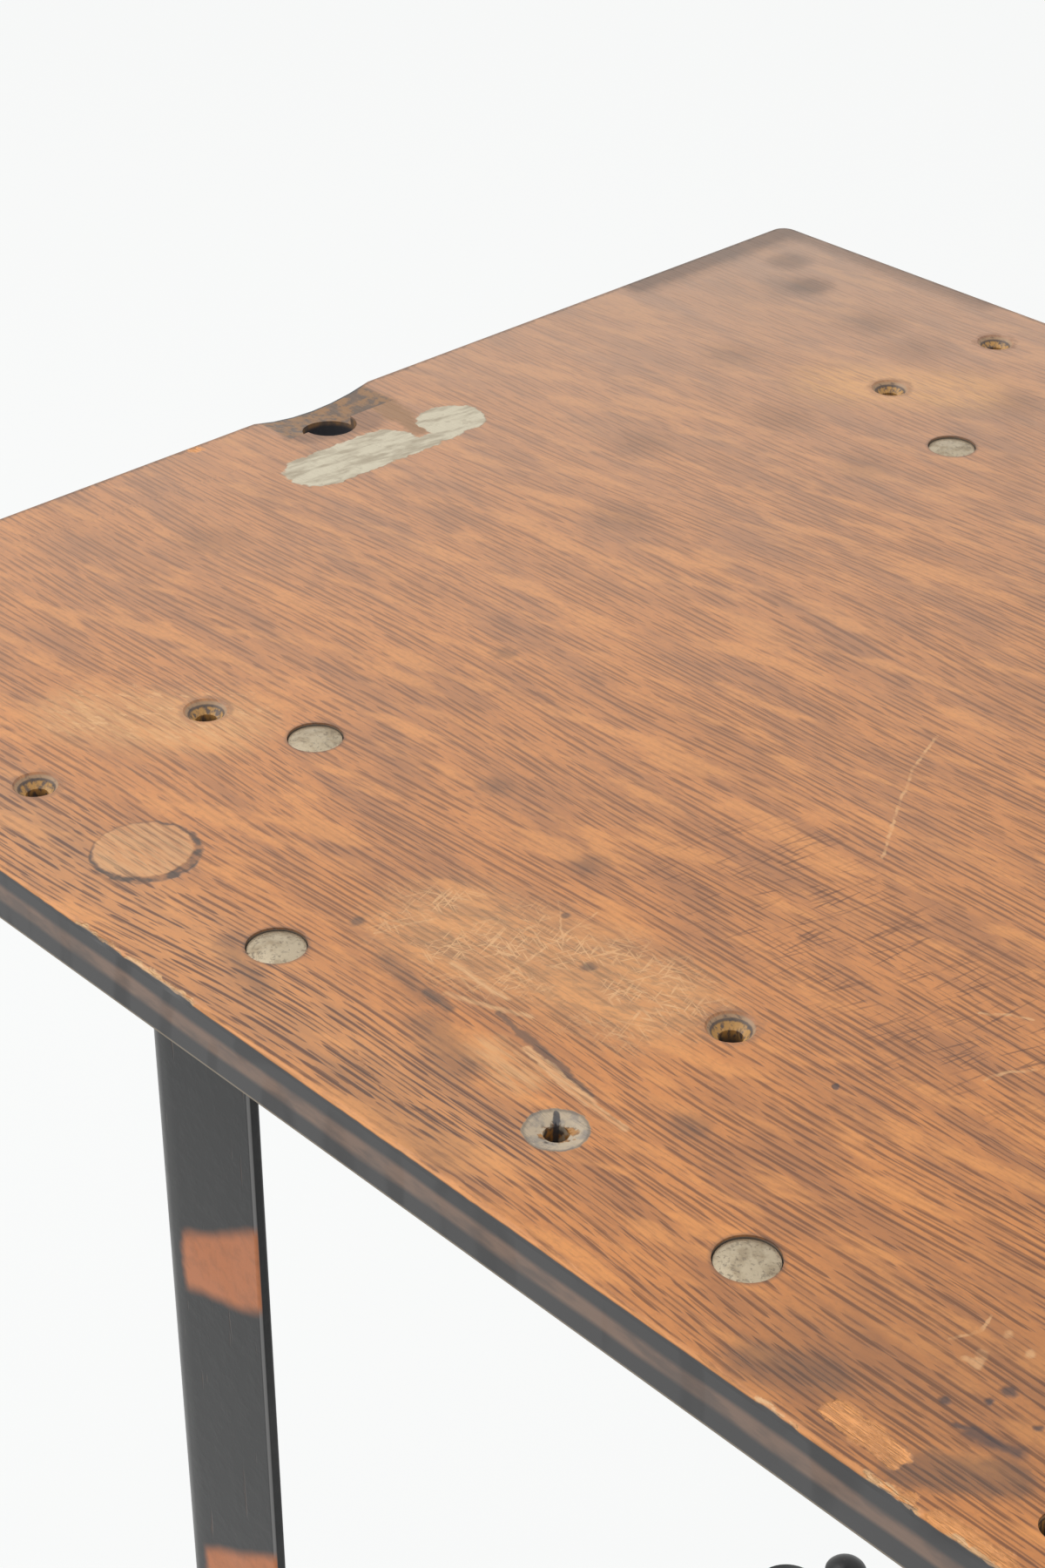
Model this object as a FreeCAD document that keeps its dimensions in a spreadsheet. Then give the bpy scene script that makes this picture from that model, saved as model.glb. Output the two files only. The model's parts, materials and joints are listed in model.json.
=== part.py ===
"""Industrial typewriter desk: plywood top on an angle-steel base with four swivel casters.

Frame: +X along the length, +Y towards the back, +Z up. The origin lies on the floor under the middle
of the top. Lengths are millimetres.
"""

import FreeCAD, Part
import math
import os

import Sketcher

# Driving dimensions, in millimetres (caster_turn in degrees). Places on the top are measured from its left
# end and from its front edge.
SIZES = {
    # desk top
    "top_length": 914.4,
    "top_depth": 457.2,
    "top_thick": 15.9,
    "top_corner": 5.0,
    "desk_height": 680.0,
    # empty countersunk screw holes: four in a rectangle at the front, two in a line at the back
    "screw_left": 132.0,
    "screw_right": 328.1,
    "screw_front": 29.8,
    "screw_back": 85.5,
    "screw_end": 120.7,
    "screw_end_front": 378.4,
    "screw_end_back": 432.3,
    "screw_dia": 6.0,
    "sink_dia": 12.4,
    "worn_sink_dia": 15.0,
    "sink_angle": 90.0,
    "worn_sink_angle": 150.0,
    # plain blind hole by the front edge
    "peg_left": 478.0,
    "peg_front": 17.0,
    "peg_dia": 8.0,
    "peg_deep": 9.0,
    # round hole at the left end, with the worn hollow between it and the edge
    "grommet_left": 16.5,
    "grommet_front": 225.7,
    "grommet_dia": 17.5,
    "wear_front": 232.0,
    "wear_length": 48.0,
    "wear_deep": 3.0,
    # carriage bolts that hold the top
    "bolt_far": 225.9,
    "bolt_near": 71.0,
    "bolt_side": 130.6,
    "bolt_dia": 6.35,
    "bolt_gap": 0.3,
    "bolt_end": 2.5,
    "head_dia": 14.3,
    "head_tall": 1.8,
    "head_sunk": 0.2,
    "recess_dia": 15.2,
    "neck_side": 6.5,
    "neck_deep": 4.5,
    "neck_gap": 0.1,
    "nut_flats": 11.1,
    "nut_thick": 5.6,
    # angle rails under the top
    "rail_flange": 25.4,
    "rail_thick": 3.2,
    "rail_root": 1.6,
    "rail_toe": 1.0,
    "gauge_long": 14.3,
    "gauge_side": 11.3,
    "joint_gap": 0.5,
    "side_clear": 5.3,
    # pressed angle legs
    "leg_flange": 44.5,
    "leg_side": 31.8,
    "leg_thick": 4.0,
    "leg_bend": 7.0,
    "leg_toe": 1.2,
    "leg_end": 162.0,
    "leg_front": 36.5,
    "leg_gap": 2.0,
    # foot runners: pressed trays, open below, that run past the legs
    "runner_past": 85.8,
    "runner_width": 34.1,
    "runner_tall": 16.0,
    "runner_thick": 3.2,
    "runner_corner": 15.0,
    # stretchers
    "brace_flange": 25.4,
    "brace_thick": 3.2,
    "brace_high": 110.0,
    # caster sockets
    "caster_end": 48.0,
    "socket_dia": 18.0,
    "socket_tall": 44.0,
    "socket_crown": 5.0,
    "socket_flange": 30.0,
    "socket_flange_thick": 2.4,
    "socket_gap": 0.2,
    "socket_drop": 1.0,
    "stem_dia": 9.5,
    "stem_tall": 30.0,
    "stem_fit": 0.05,
    "stem_end_gap": 2.0,
    # swivel forks
    "caster_turn": 155.0,
    "collar_dia": 20.0,
    "collar_tall": 7.9,
    "collar_gap": 0.1,
    "fork_crown": 4.0,
    "fork_arm": 3.0,
    "fork_front": 13.0,
    "fork_lip": 6.0,
    "fork_eye": 18.0,
    "fork_trail": 28.0,
    # wheels and axles
    "wheel_dia": 50.0,
    "wheel_bevel": 3.0,
    "wheel_wide": 21.0,
    "wheel_over": 4.0,
    "wheel_gap": 0.5,
    "axle_dia": 6.35,
    "axle_fit": 0.05,
}

Z_AXIS = FreeCAD.Vector(0, 0, 1)
SHEET = "Sizes"
OVERCUT = 1.0

document = FreeCAD.newDocument("typewriter_desk")
nodes = []


class Size:
    """A length: the formula that ties it to the sheet, and its present value."""

    def __init__(self, formula, value):
        self.formula = formula
        self.value = float(value)

    @staticmethod
    def of(thing):
        return thing if isinstance(thing, Size) else Size(repr(float(thing)), thing)

    def join(self, sign, other, value):
        return Size(f"({self.formula} {sign} {other.formula})", value)

    def __add__(self, other):
        other = Size.of(other)
        return self.join("+", other, self.value + other.value)

    def __sub__(self, other):
        other = Size.of(other)
        return self.join("-", other, self.value - other.value)

    def __mul__(self, other):
        other = Size.of(other)
        return self.join("*", other, self.value * other.value)

    def __truediv__(self, other):
        other = Size.of(other)
        return self.join("/", other, self.value / other.value)

    def __neg__(self):
        return Size(f"(0 - {self.formula})", -self.value)

    __rmul__ = __mul__


def fill_sheet():
    """Write every driving dimension to the sheet and return them as sizes by name."""
    sheet = document.addObject("Spreadsheet::Sheet", SHEET)
    sizes = {}
    for row, (name, value) in enumerate(SIZES.items(), start=1):
        sheet.set(f"A{row}", name)
        sheet.set(f"B{row}", str(value))
        sheet.setAlias(f"B{row}", name)
        sizes[name] = Size(f"{SHEET}.{name}", value)
    document.recompute()
    return sizes


class Names:
    """The driving dimensions as attributes."""

    def __init__(self, sizes):
        self.__dict__.update(sizes)


size = Names(fill_sheet())

# Places worked out from the driving dimensions
half_length = size.top_length / 2
half_depth = size.top_depth / 2
top_under = size.desk_height - size.top_thick
rail_under = top_under - size.rail_thick
leg_x = half_length - size.leg_end
leg_y = half_depth - size.leg_front
side_face = leg_x - size.leg_thick
front_face = leg_y - size.leg_thick
rail_face = side_face - size.side_clear
leg_inner_bend = size.leg_bend - size.leg_thick
crown_under = size.wheel_dia + size.wheel_over
collar_under = crown_under + size.fork_crown
collar_top = collar_under + size.collar_tall
socket_under = collar_top + size.collar_gap
runner_under = socket_under + size.socket_drop
runner_top = runner_under + size.runner_tall
leg_top = rail_under - size.leg_gap
runner_end = leg_x + size.runner_past
caster_x = runner_end - size.caster_end
caster_y = front_face - size.runner_width / 2
bolt_hole = size.bolt_dia + size.bolt_gap * 2
long_bolt_line = front_face - size.rail_thick + size.gauge_long
side_bolt_line = rail_face - size.rail_thick + size.gauge_side


def bind(thing, name, length):
    """Tie one property of a document object to a size."""
    thing.setExpression(name, length.formula)


def new_body(label):
    """A sub-part: its label is the name of its node."""
    body = document.addObject("PartDesign::Body", label)
    body.Label = label
    return body


def node(thing):
    """Mark a document object as a sub-part that is written out."""
    nodes.append(thing)
    return thing


def place(thing, x=0, y=0, z=0, turn=0.0):
    """Turn a sub-part about the upright through its own origin, then move it to a place tied to sizes."""
    thing.Placement = FreeCAD.Placement(FreeCAD.Vector(), FreeCAD.Rotation(Z_AXIS, turn))
    for letter, length in zip("xyz", (x, y, z)):
        bind(thing, f"Placement.Base.{letter}", Size.of(length))


class Drawing:
    """A sketch on one of a body's origin planes, with every point tied to sizes."""

    def __init__(self, body, name, plane, lift=0):
        self.sketch = body.newObject("Sketcher::SketchObject", name)
        support = [part for part in body.Origin.OriginFeatures if part.Role == plane]
        self.sketch.AttachmentSupport = [(support[0], "")]
        self.sketch.MapMode = "FlatFace"
        bind(self.sketch, "AttachmentOffset.Base.z", Size.of(lift))

    def tie(self, length, kind, *where):
        """Add a dimension and bind it to a size."""
        index = self.sketch.addConstraint(Sketcher.Constraint(kind, *where, length.value))
        bind(self.sketch, f"Constraints[{index}]", length)

    def pin(self, curve, end, spot):
        """Fix one point of a curve: end 1 is its start, 2 its end and 3 its centre."""
        self.tie(Size.of(spot[0]), "DistanceX", -1, 1, curve, end)
        self.tie(Size.of(spot[1]), "DistanceY", -1, 1, curve, end)

    def circle(self, x, y, diameter):
        spot = (Size.of(x), Size.of(y))
        centre = FreeCAD.Vector(spot[0].value, spot[1].value, 0)
        curve = self.sketch.addGeometry(Part.Circle(centre, Z_AXIS, diameter.value / 2))
        self.pin(curve, 3, spot)
        self.tie(diameter, "Diameter", curve)

    def outline(self, points):
        """A closed outline through points, each (x, y) before a line or (x, y, arc) before an arc.

        An arc is (centre x, centre y, radius, turn), with a turn of 1 for anticlockwise and -1 for clockwise.
        """
        spots = [(Size.of(point[0]), Size.of(point[1])) for point in points]
        curves = []
        for index, point in enumerate(points):
            start = spots[index]
            finish = spots[(index + 1) % len(spots)]
            shape = arc_between(start, finish, point[2]) if len(point) > 2 else line_between(start, finish)
            curves.append(self.sketch.addGeometry(shape))
        for index, curve in enumerate(curves):
            after = (index + 1) % len(curves)
            turn = points[index][2][3] if len(points[index]) > 2 else 1
            next_turn = points[after][2][3] if len(points[after]) > 2 else 1
            leaving = 2 if turn > 0 else 1
            arriving = 1 if next_turn > 0 else 2
            self.sketch.addConstraint(
                Sketcher.Constraint("Coincident", curve, leaving, curves[after], arriving)
            )
            self.pin(curve, 1 if turn > 0 else 2, spots[index])
            if len(points[index]) > 2:
                self.tie(points[index][2][2], "Radius", curve)

    def polygon(self, corners):
        """A closed outline of level and upright lines, each corner (x, y) sharp or (x, y, radius)."""
        spots = [(Size.of(corner[0]), Size.of(corner[1])) for corner in corners]
        points = []
        for index, corner in enumerate(corners):
            x, y = spots[index]
            if len(corner) < 3:
                points.append((x, y))
                continue
            back = step_towards(spots[index], spots[index - 1])
            ahead = step_towards(spots[index], spots[(index + 1) % len(spots)])
            radius = corner[2]
            turn = 1 if back[1] * ahead[0] - back[0] * ahead[1] > 0 else -1
            centre_x = x + radius * (back[0] + ahead[0])
            centre_y = y + radius * (back[1] + ahead[1])
            arc = (centre_x, centre_y, radius, turn)
            points.append((x + radius * back[0], y + radius * back[1], arc))
            points.append((x + radius * ahead[0], y + radius * ahead[1]))
        self.outline(points)

    def rectangle(self, left, right, low, high):
        self.polygon([(left, low), (right, low), (right, high), (left, high)])

    def axis(self, x, y):
        """An upright construction line through a point, to turn an outline about."""
        start = (Size.of(x), Size.of(y))
        finish = (start[0], start[1] + OVERCUT)
        curve = self.sketch.addGeometry(line_between(start, finish), True)
        self.pin(curve, 1, start)
        self.pin(curve, 2, finish)


def line_between(start, finish):
    ends = [FreeCAD.Vector(spot[0].value, spot[1].value, 0) for spot in (start, finish)]
    return Part.LineSegment(*ends)


def arc_between(start, finish, arc):
    """The arc from start to finish about a centre, anticlockwise for a turn of 1."""
    centre_x, centre_y, radius, turn = arc
    centre = FreeCAD.Vector(Size.of(centre_x).value, Size.of(centre_y).value, 0)
    circle = Part.Circle(centre, Z_AXIS, radius.value)
    angles = [math.atan2(spot[1].value - centre.y, spot[0].value - centre.x) for spot in (start, finish)]
    first, last = angles if turn > 0 else reversed(angles)
    if last <= first:
        last += 2 * math.pi
    return Part.ArcOfCircle(circle, first, last)


def step_towards(spot, other):
    """The unit step along the level or upright line from one corner to another."""
    across = other[0].value - spot[0].value
    along = other[1].value - spot[1].value
    if abs(across) > abs(along):
        return (math.copysign(1, across), 0)
    return (0, math.copysign(1, along))


def pad(body, name, drawing, length, symmetric=False, reverse=False):
    """Add the sketched outline as a prism."""
    feature = body.newObject("PartDesign::Pad", name)
    feature.Profile = drawing.sketch
    feature.SideType = "Symmetric" if symmetric else "One side"
    feature.Reversed = reverse
    bind(feature, "Length", length)
    return feature


def pocket(body, name, drawing, depth=None, reverse=False):
    """Cut the sketched outline to a depth, or right through on both sides, and make sure that it cut."""
    before = body.Shape.Volume
    feature = body.newObject("PartDesign::Pocket", name)
    feature.Profile = drawing.sketch
    if depth is None:
        feature.SideType = "Symmetric"
        feature.Type = "ThroughAll"
    else:
        feature.Reversed = reverse
        bind(feature, "Length", depth)
    document.recompute()
    if not body.Shape.Volume < before:
        raise ValueError(f"{body.Label} {name} cuts nothing")
    return feature


def revolve(body, name, drawing, axis="V_Axis"):
    """Turn the sketched outline about an axis of its sketch."""
    feature = body.newObject("PartDesign::Revolution", name)
    feature.Profile = drawing.sketch
    feature.ReferenceAxis = (drawing.sketch, [axis])
    feature.Angle = 360.0
    return feature


def mirror(label, source, normal):
    """The same piece on the other side of the desk."""
    feature = document.addObject("Part::Mirroring", label)
    feature.Label = label
    feature.Source = source
    feature.Base = FreeCAD.Vector()
    feature.Normal = FreeCAD.Vector(*normal)
    return node(feature)


def copies(label, master, spots):
    """Copies of one fastener, each at (x, y, z), as the separate solids of one node."""
    links = []
    for index, spot in enumerate(spots):
        link = document.addObject("App::Link", f"{label}_{index}")
        link.LinkedObject = master
        place(link, *spot)
        links.append(link)
    group = document.addObject("Part::Compound", label)
    group.Label = label
    group.Links = links
    return node(group)


def both_sides(length):
    return (-length, length)


def top_bolt_spots():
    """Where the carriage bolts pass through the top: four on each long rail, two on each side rail."""
    spots = []
    for y in both_sides(long_bolt_line):
        for along in (size.bolt_far, size.bolt_near):
            spots += [(x, y) for x in both_sides(along)]
    for x in both_sides(side_bolt_line):
        spots += [(x, y) for y in both_sides(size.bolt_side)]
    return spots


def screw_spots():
    """The four plain front screw holes apart from the worn one, then the two at the back of the left end."""
    left = size.screw_left - half_length
    right = size.screw_right - half_length
    end = size.screw_end - half_length
    front = size.screw_front - half_depth
    back = size.screw_back - half_depth
    spots = [(left, front), (left, back), (right, back)]
    spots += [(end, size.screw_end_front - half_depth), (end, size.screw_end_back - half_depth)]
    return spots


def worn_screw_spot():
    return (size.screw_right - half_length, size.screw_front - half_depth)


def sink_screws(body, name, spots, sink, angle):
    """Countersunk through holes from the upper face."""
    drawing = Drawing(body, f"{name}_sketch", "XY_Plane", size.top_thick)
    for x, y in spots:
        drawing.circle(x, y, size.screw_dia)
    document.recompute()
    before = body.Shape.Volume
    hole = body.newObject("PartDesign::Hole", name)
    hole.Profile = drawing.sketch
    hole.DepthType = "ThroughAll"
    hole.HoleCutType = "Countersink"
    hole.HoleCutCustomValues = True
    bind(hole, "Diameter", size.screw_dia)
    bind(hole, "HoleCutDiameter", sink)
    bind(hole, "HoleCutCountersinkAngle", angle)
    document.recompute()
    if not body.Shape.Volume < before:
        raise ValueError(f"{name} cuts nothing")


def wear_hollow(body):
    """The hollow worn across the left edge at the round hole: a shallow arc run in from the end."""
    half = size.wear_length / 2
    middle = size.wear_front - half_depth
    radius = (half * half + size.wear_deep * size.wear_deep) / (size.wear_deep * 2)
    drawing = Drawing(body, "wear_sketch", "YZ_Plane", -half_length - OVERCUT)
    arc = (middle, size.top_thick - size.wear_deep + radius, radius, 1)
    drawing.outline(
        [
            (middle - half, size.top_thick, arc),
            (middle + half, size.top_thick),
            (middle + half, size.top_thick + OVERCUT),
            (middle - half, size.top_thick + OVERCUT),
        ]
    )
    pocket(body, "wear", drawing, size.grommet_left + OVERCUT, reverse=True)


def make_top():
    """The plywood board with bolt recesses, screw holes, the end hole and its worn edge."""
    body = node(new_body("desk_top"))
    board = Drawing(body, "board_sketch", "XY_Plane")
    corner = size.top_corner
    board.polygon(
        [
            (-half_length, -half_depth, corner),
            (half_length, -half_depth, corner),
            (half_length, half_depth, corner),
            (-half_length, half_depth, corner),
        ]
    )
    pad(body, "board", board, size.top_thick)
    document.recompute()
    recess_deep = size.head_tall + size.head_sunk
    recess = Drawing(body, "recess_sketch", "XY_Plane", size.top_thick)
    shank = Drawing(body, "shank_sketch", "XY_Plane")
    neck = Drawing(body, "neck_sketch", "XY_Plane", size.top_thick)
    half_neck = size.neck_side / 2 + size.neck_gap
    for x, y in top_bolt_spots():
        recess.circle(x, y, size.recess_dia)
        shank.circle(x, y, bolt_hole)
        neck.rectangle(x - half_neck, x + half_neck, y - half_neck, y + half_neck)
    pocket(body, "recesses", recess, recess_deep)
    pocket(body, "necks", neck, recess_deep + size.neck_deep + size.neck_gap)
    pocket(body, "shanks", shank)
    sink_screws(body, "screws", screw_spots(), size.sink_dia, size.sink_angle)
    sink_screws(body, "worn_screw", [worn_screw_spot()], size.worn_sink_dia, size.worn_sink_angle)
    peg = Drawing(body, "peg_sketch", "XY_Plane", size.top_thick)
    peg.circle(size.peg_left - half_length, size.peg_front - half_depth, size.peg_dia)
    pocket(body, "peg", peg, size.peg_deep)
    grommet = Drawing(body, "grommet_sketch", "XY_Plane")
    grommet.circle(size.grommet_left - half_length, size.grommet_front - half_depth, size.grommet_dia)
    pocket(body, "grommet", grommet)
    wear_hollow(body)
    place(body, z=top_under)


def crown_arc(half_width, low, high):
    """The arc of a low dome from its rim at (half_width, low) to its top on the axis."""
    rise = high - low
    radius = (half_width * half_width + rise * rise) / (rise * 2)
    return (0, high - radius, radius, 1)


def make_carriage_bolts():
    """Domed bolts with square necks, each head sunk just under the surface of the top."""
    master = new_body("carriage_bolt")
    head_under = size.desk_height - size.head_sunk - size.head_tall
    stack = size.nut_thick + size.bolt_end
    length = head_under - rail_under + stack
    shank_radius = size.bolt_dia / 2
    head_radius = size.head_dia / 2
    turned = Drawing(master, "turned_sketch", "XZ_Plane")
    turned.outline(
        [
            (0, -length),
            (shank_radius, -length),
            (shank_radius, 0),
            (head_radius, 0, crown_arc(head_radius, Size.of(0), size.head_tall)),
            (0, size.head_tall),
        ]
    )
    revolve(master, "turned", turned)
    square = Drawing(master, "square_sketch", "XY_Plane")
    half_neck = size.neck_side / 2
    square.rectangle(-half_neck, half_neck, -half_neck, half_neck)
    pad(master, "square", square, size.neck_deep, reverse=True)
    copies("top_bolts", master, [(x, y, head_under) for x, y in top_bolt_spots()])


def make_nuts():
    """Hexagon nuts with two flats square to the length of the desk, so that they clear the side rails."""
    master = new_body("hexagon_nut")
    hexagon = Drawing(master, "hexagon_sketch", "XY_Plane")
    corner = size.nut_flats / math.sqrt(3)
    angles = [math.radians(30 + 60 * side) for side in range(6)]
    hexagon.outline([(corner * math.cos(angle), corner * math.sin(angle)) for angle in angles])
    hexagon.circle(0, 0, bolt_hole)
    pad(master, "hexagon", hexagon, size.nut_thick, reverse=True)
    copies("top_nuts", master, [(x, y, rail_under) for x, y in top_bolt_spots()])


def draw_angle(drawing, heel_y, heel_z, across, up, flange, thick):
    """An angle section with its heel at a point: across and up are the senses of its two flanges."""
    toe = size.rail_toe
    corners = [
        (heel_y, heel_z),
        (heel_y + flange * across, heel_z),
        (heel_y + flange * across, heel_z + thick * up, toe),
        (heel_y + thick * across, heel_z + thick * up, size.rail_root),
        (heel_y + thick * across, heel_z + flange * up, toe),
        (heel_y, heel_z + flange * up),
    ]
    drawing.polygon(corners)


def make_rail(label, turn, face, length, bolts, gauge, screws=(), cope=None):
    """A rail under the top, drawn along X at the front: flange outwards, web inside the legs."""
    body = node(new_body(label))
    heel = size.rail_thick - face
    section = Drawing(body, "section_sketch", "YZ_Plane")
    draw_angle(section, heel, top_under, -1, -1, size.rail_flange, size.rail_thick)
    pad(body, "section", section, length, symmetric=True)
    document.recompute()
    flat = Drawing(body, "flat_sketch", "XY_Plane")
    for x in bolts:
        flat.circle(x, heel - gauge, bolt_hole)
    for x, y in screws:
        flat.circle(x, y, size.screw_dia + size.bolt_gap * 2)
    pocket(body, "flat_holes", flat)
    if cope is not None:
        web = Drawing(body, "web_sketch", "XZ_Plane")
        low = top_under - size.rail_flange - OVERCUT
        for inner, outer in ((cope, length / 2 + OVERCUT), (-length / 2 - OVERCUT, -cope)):
            web.rectangle(inner, outer, low, rail_under)
        pocket(body, "web_cuts", web)
    place(body, turn=turn)


def make_rails():
    """Long rails run over the corners, webs cut back; side rails butt between them inside the legs."""
    reach = rail_face - size.rail_thick + size.rail_flange
    cope = side_face - leg_inner_bend - size.joint_gap * 2
    long_bolts = both_sides(size.bolt_far) + both_sides(size.bolt_near)
    long_shape = (front_face, reach * 2, long_bolts, size.gauge_long)
    make_rail("front_rail", 0, *long_shape, screws=[worn_screw_spot()], cope=cope)
    make_rail("rear_rail", 180, *long_shape, cope=cope)
    side_length = (front_face - size.rail_thick - size.joint_gap) * 2
    side_shape = (rail_face, side_length, both_sides(size.bolt_side), size.gauge_side)
    make_rail("right_rail", 90, *side_shape)
    make_rail("left_rail", 270, *side_shape)


def make_legs():
    """Pressed angle legs: the wide front flange laps the runner, the side flange ends level with its top."""
    body = node(new_body("leg_front_left"))
    flange = size.leg_flange
    thick = size.leg_thick
    section = Drawing(body, "section_sketch", "XY_Plane")
    section.polygon(
        [
            (0, 0, size.leg_bend),
            (flange, 0, size.leg_toe),
            (flange, thick, size.leg_toe),
            (thick, thick, leg_inner_bend),
            (thick, size.leg_side, size.leg_toe),
            (0, size.leg_side, size.leg_toe),
        ]
    )
    pad(body, "section", section, leg_top - runner_under)
    document.recompute()
    cope = Drawing(body, "cope_sketch", "XY_Plane")
    cope.rectangle(-thick, flange + thick, thick, flange + thick)
    pocket(body, "cope", cope, size.runner_tall, reverse=True)
    place(body, -leg_x, -leg_y, runner_under)
    right = mirror("leg_front_right", body, (1, 0, 0))
    mirror("leg_rear_left", body, (0, 1, 0))
    mirror("leg_rear_right", right, (0, 1, 0))


def make_runner(label, turn):
    """A foot runner: a pressed tray with round ends, open below, drilled for its two caster sockets."""
    body = node(new_body(label))
    half = runner_end
    near = -front_face
    far = near + size.runner_width
    wall = size.runner_thick
    corner = size.runner_corner
    tray = Drawing(body, "tray_sketch", "XY_Plane")
    tray.polygon([(-half, near, corner), (half, near, corner), (half, far, corner), (-half, far, corner)])
    pad(body, "tray", tray, size.runner_tall)
    document.recompute()
    inside = corner - wall
    hollow = Drawing(body, "hollow_sketch", "XY_Plane")
    hollow.polygon(
        [
            (wall - half, near + wall, inside),
            (half - wall, near + wall, inside),
            (half - wall, far - wall, inside),
            (wall - half, far - wall, inside),
        ]
    )
    pocket(body, "hollow", hollow, size.runner_tall - wall, reverse=True)
    seats = Drawing(body, "seat_sketch", "XY_Plane")
    for x in both_sides(caster_x):
        seats.circle(x, -caster_y, size.socket_dia + size.socket_gap * 2)
    pocket(body, "seats", seats)
    place(body, z=runner_under, turn=turn)


def make_side_stretcher(label, turn):
    """An angle between the two legs of one end, drawn along X at the front, with its flange inwards."""
    body = node(new_body(label))
    length = (front_face - leg_inner_bend - size.joint_gap) * 2
    section = Drawing(body, "section_sketch", "YZ_Plane")
    draw_angle(section, -side_face, size.brace_high, 1, 1, size.brace_flange, size.brace_thick)
    pad(body, "section", section, length, symmetric=True)
    place(body, turn=turn)


def make_centre_stretcher():
    """An angle along the middle of the desk that lies on the flanges of the side stretchers."""
    body = node(new_body("centre_stretcher"))
    length = (side_face - size.brace_thick - size.rail_root - size.joint_gap) * 2
    seat = size.brace_high + size.brace_thick
    section = Drawing(body, "section_sketch", "YZ_Plane")
    draw_angle(section, -size.brace_flange / 2, seat, 1, 1, size.brace_flange, size.brace_thick)
    pad(body, "section", section, length, symmetric=True)


def caster_spots():
    """The name and the place of each caster, one under each end of each runner."""
    spots = {}
    for depth, y in (("front", -caster_y), ("rear", caster_y)):
        for side, x in (("left", -caster_x), ("right", caster_x)):
            spots[f"{depth}_{side}"] = (x, y)
    return spots


def make_sockets():
    """Domed sockets on the runners: the spigot passes through the tray and the bore guides the stem."""
    master = new_body("caster_socket")
    bore = size.stem_dia / 2 + size.stem_fit
    tube = size.socket_dia / 2
    flange = size.socket_flange / 2
    flange_top = runner_top + size.socket_flange_thick
    peak = runner_top + size.socket_tall
    shoulder = peak - size.socket_crown
    bore_top = collar_top + size.stem_tall + size.stem_end_gap
    turned = Drawing(master, "turned_sketch", "XZ_Plane")
    turned.outline(
        [
            (bore, socket_under),
            (tube, socket_under),
            (tube, runner_top),
            (flange, runner_top),
            (flange, flange_top),
            (tube, flange_top),
            (tube, shoulder, crown_arc(tube, shoulder, peak)),
            (0, peak),
            (0, bore_top),
            (bore, bore_top),
        ]
    )
    revolve(master, "turned", turned)
    copies("caster_sockets", master, caster_spots().values())


def tangent_point(spot, centre, radius, side):
    """Where the line from a spot outside a circle touches it, on the side of the circle asked for."""
    across = centre[0] - spot[0]
    along = centre[1] - spot[1]
    distance = math.hypot(across, along)
    reach = math.sqrt(distance * distance - radius * radius)
    angle = math.atan2(along, across) + side * math.asin(radius / distance)
    return (spot[0] + reach * math.cos(angle), spot[1] + reach * math.sin(angle))


def draw_fork_side(drawing):
    """The side of a fork: a level crown whose two edges run down to a round eye behind the stem."""
    front = -size.fork_front
    lip = crown_under - size.fork_lip + size.fork_crown
    eye = (size.fork_trail, size.wheel_dia / 2)
    eye_radius = size.fork_eye / 2
    spots = [(front, lip), (front, collar_under), (size.fork_front, collar_under)]
    place_of = [(x.value, y.value) for x, y in spots]
    centre = (eye[0].value, eye[1].value)
    upper = tangent_point(place_of[2], centre, eye_radius.value, 1)
    lower = tangent_point(place_of[0], centre, eye_radius.value, -1)
    sketch = drawing.sketch
    vectors = [FreeCAD.Vector(*spot, 0) for spot in place_of + [upper, lower]]
    runs = [(0, 1), (1, 2), (2, 3), (4, 0)]
    lines = [sketch.addGeometry(Part.LineSegment(vectors[a], vectors[b])) for a, b in runs]
    circle = Part.Circle(FreeCAD.Vector(*centre, 0), Z_AXIS, eye_radius.value)
    first = math.atan2(lower[1] - centre[1], lower[0] - centre[0])
    last = math.atan2(upper[1] - centre[1], upper[0] - centre[0])
    arc = sketch.addGeometry(Part.ArcOfCircle(circle, first, last if last > first else last + 2 * math.pi))
    for before, after in ((0, 1), (1, 2), (3, 0)):
        sketch.addConstraint(Sketcher.Constraint("Coincident", lines[before], 2, lines[after], 1))
    for index in range(3):
        drawing.pin(lines[index], 1, spots[index])
    drawing.pin(arc, 3, eye)
    drawing.tie(eye_radius, "Radius", arc)
    sketch.addConstraint(Sketcher.Constraint("Tangent", lines[2], 2, arc, 2))
    sketch.addConstraint(Sketcher.Constraint("Tangent", lines[3], 1, arc, 1))


def make_fork(label, x, y):
    """A swivel fork: two arms under a crown, with a collar and the stem that turns in the socket."""
    body = node(new_body(label))
    gap = size.wheel_wide + size.wheel_gap * 2
    side = Drawing(body, "side_sketch", "XZ_Plane")
    draw_fork_side(side)
    pad(body, "side", side, gap + size.fork_arm * 2, symmetric=True)
    document.recompute()
    throat = Drawing(body, "throat_sketch", "YZ_Plane")
    throat.rectangle(-gap / 2, gap / 2, -OVERCUT, crown_under)
    pocket(body, "throat", throat)
    eye = Drawing(body, "eye_sketch", "XZ_Plane")
    eye.circle(size.fork_trail, size.wheel_dia / 2, size.axle_dia + size.axle_fit * 2)
    pocket(body, "eye", eye)
    collar = Drawing(body, "collar_sketch", "XY_Plane", collar_under)
    collar.circle(0, 0, size.collar_dia)
    pad(body, "collar", collar, size.collar_tall)
    stem = Drawing(body, "stem_sketch", "XY_Plane", collar_top)
    stem.circle(0, 0, size.stem_dia)
    pad(body, "stem", stem, size.stem_tall)
    place(body, x, y, turn=size.caster_turn.value)


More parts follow.
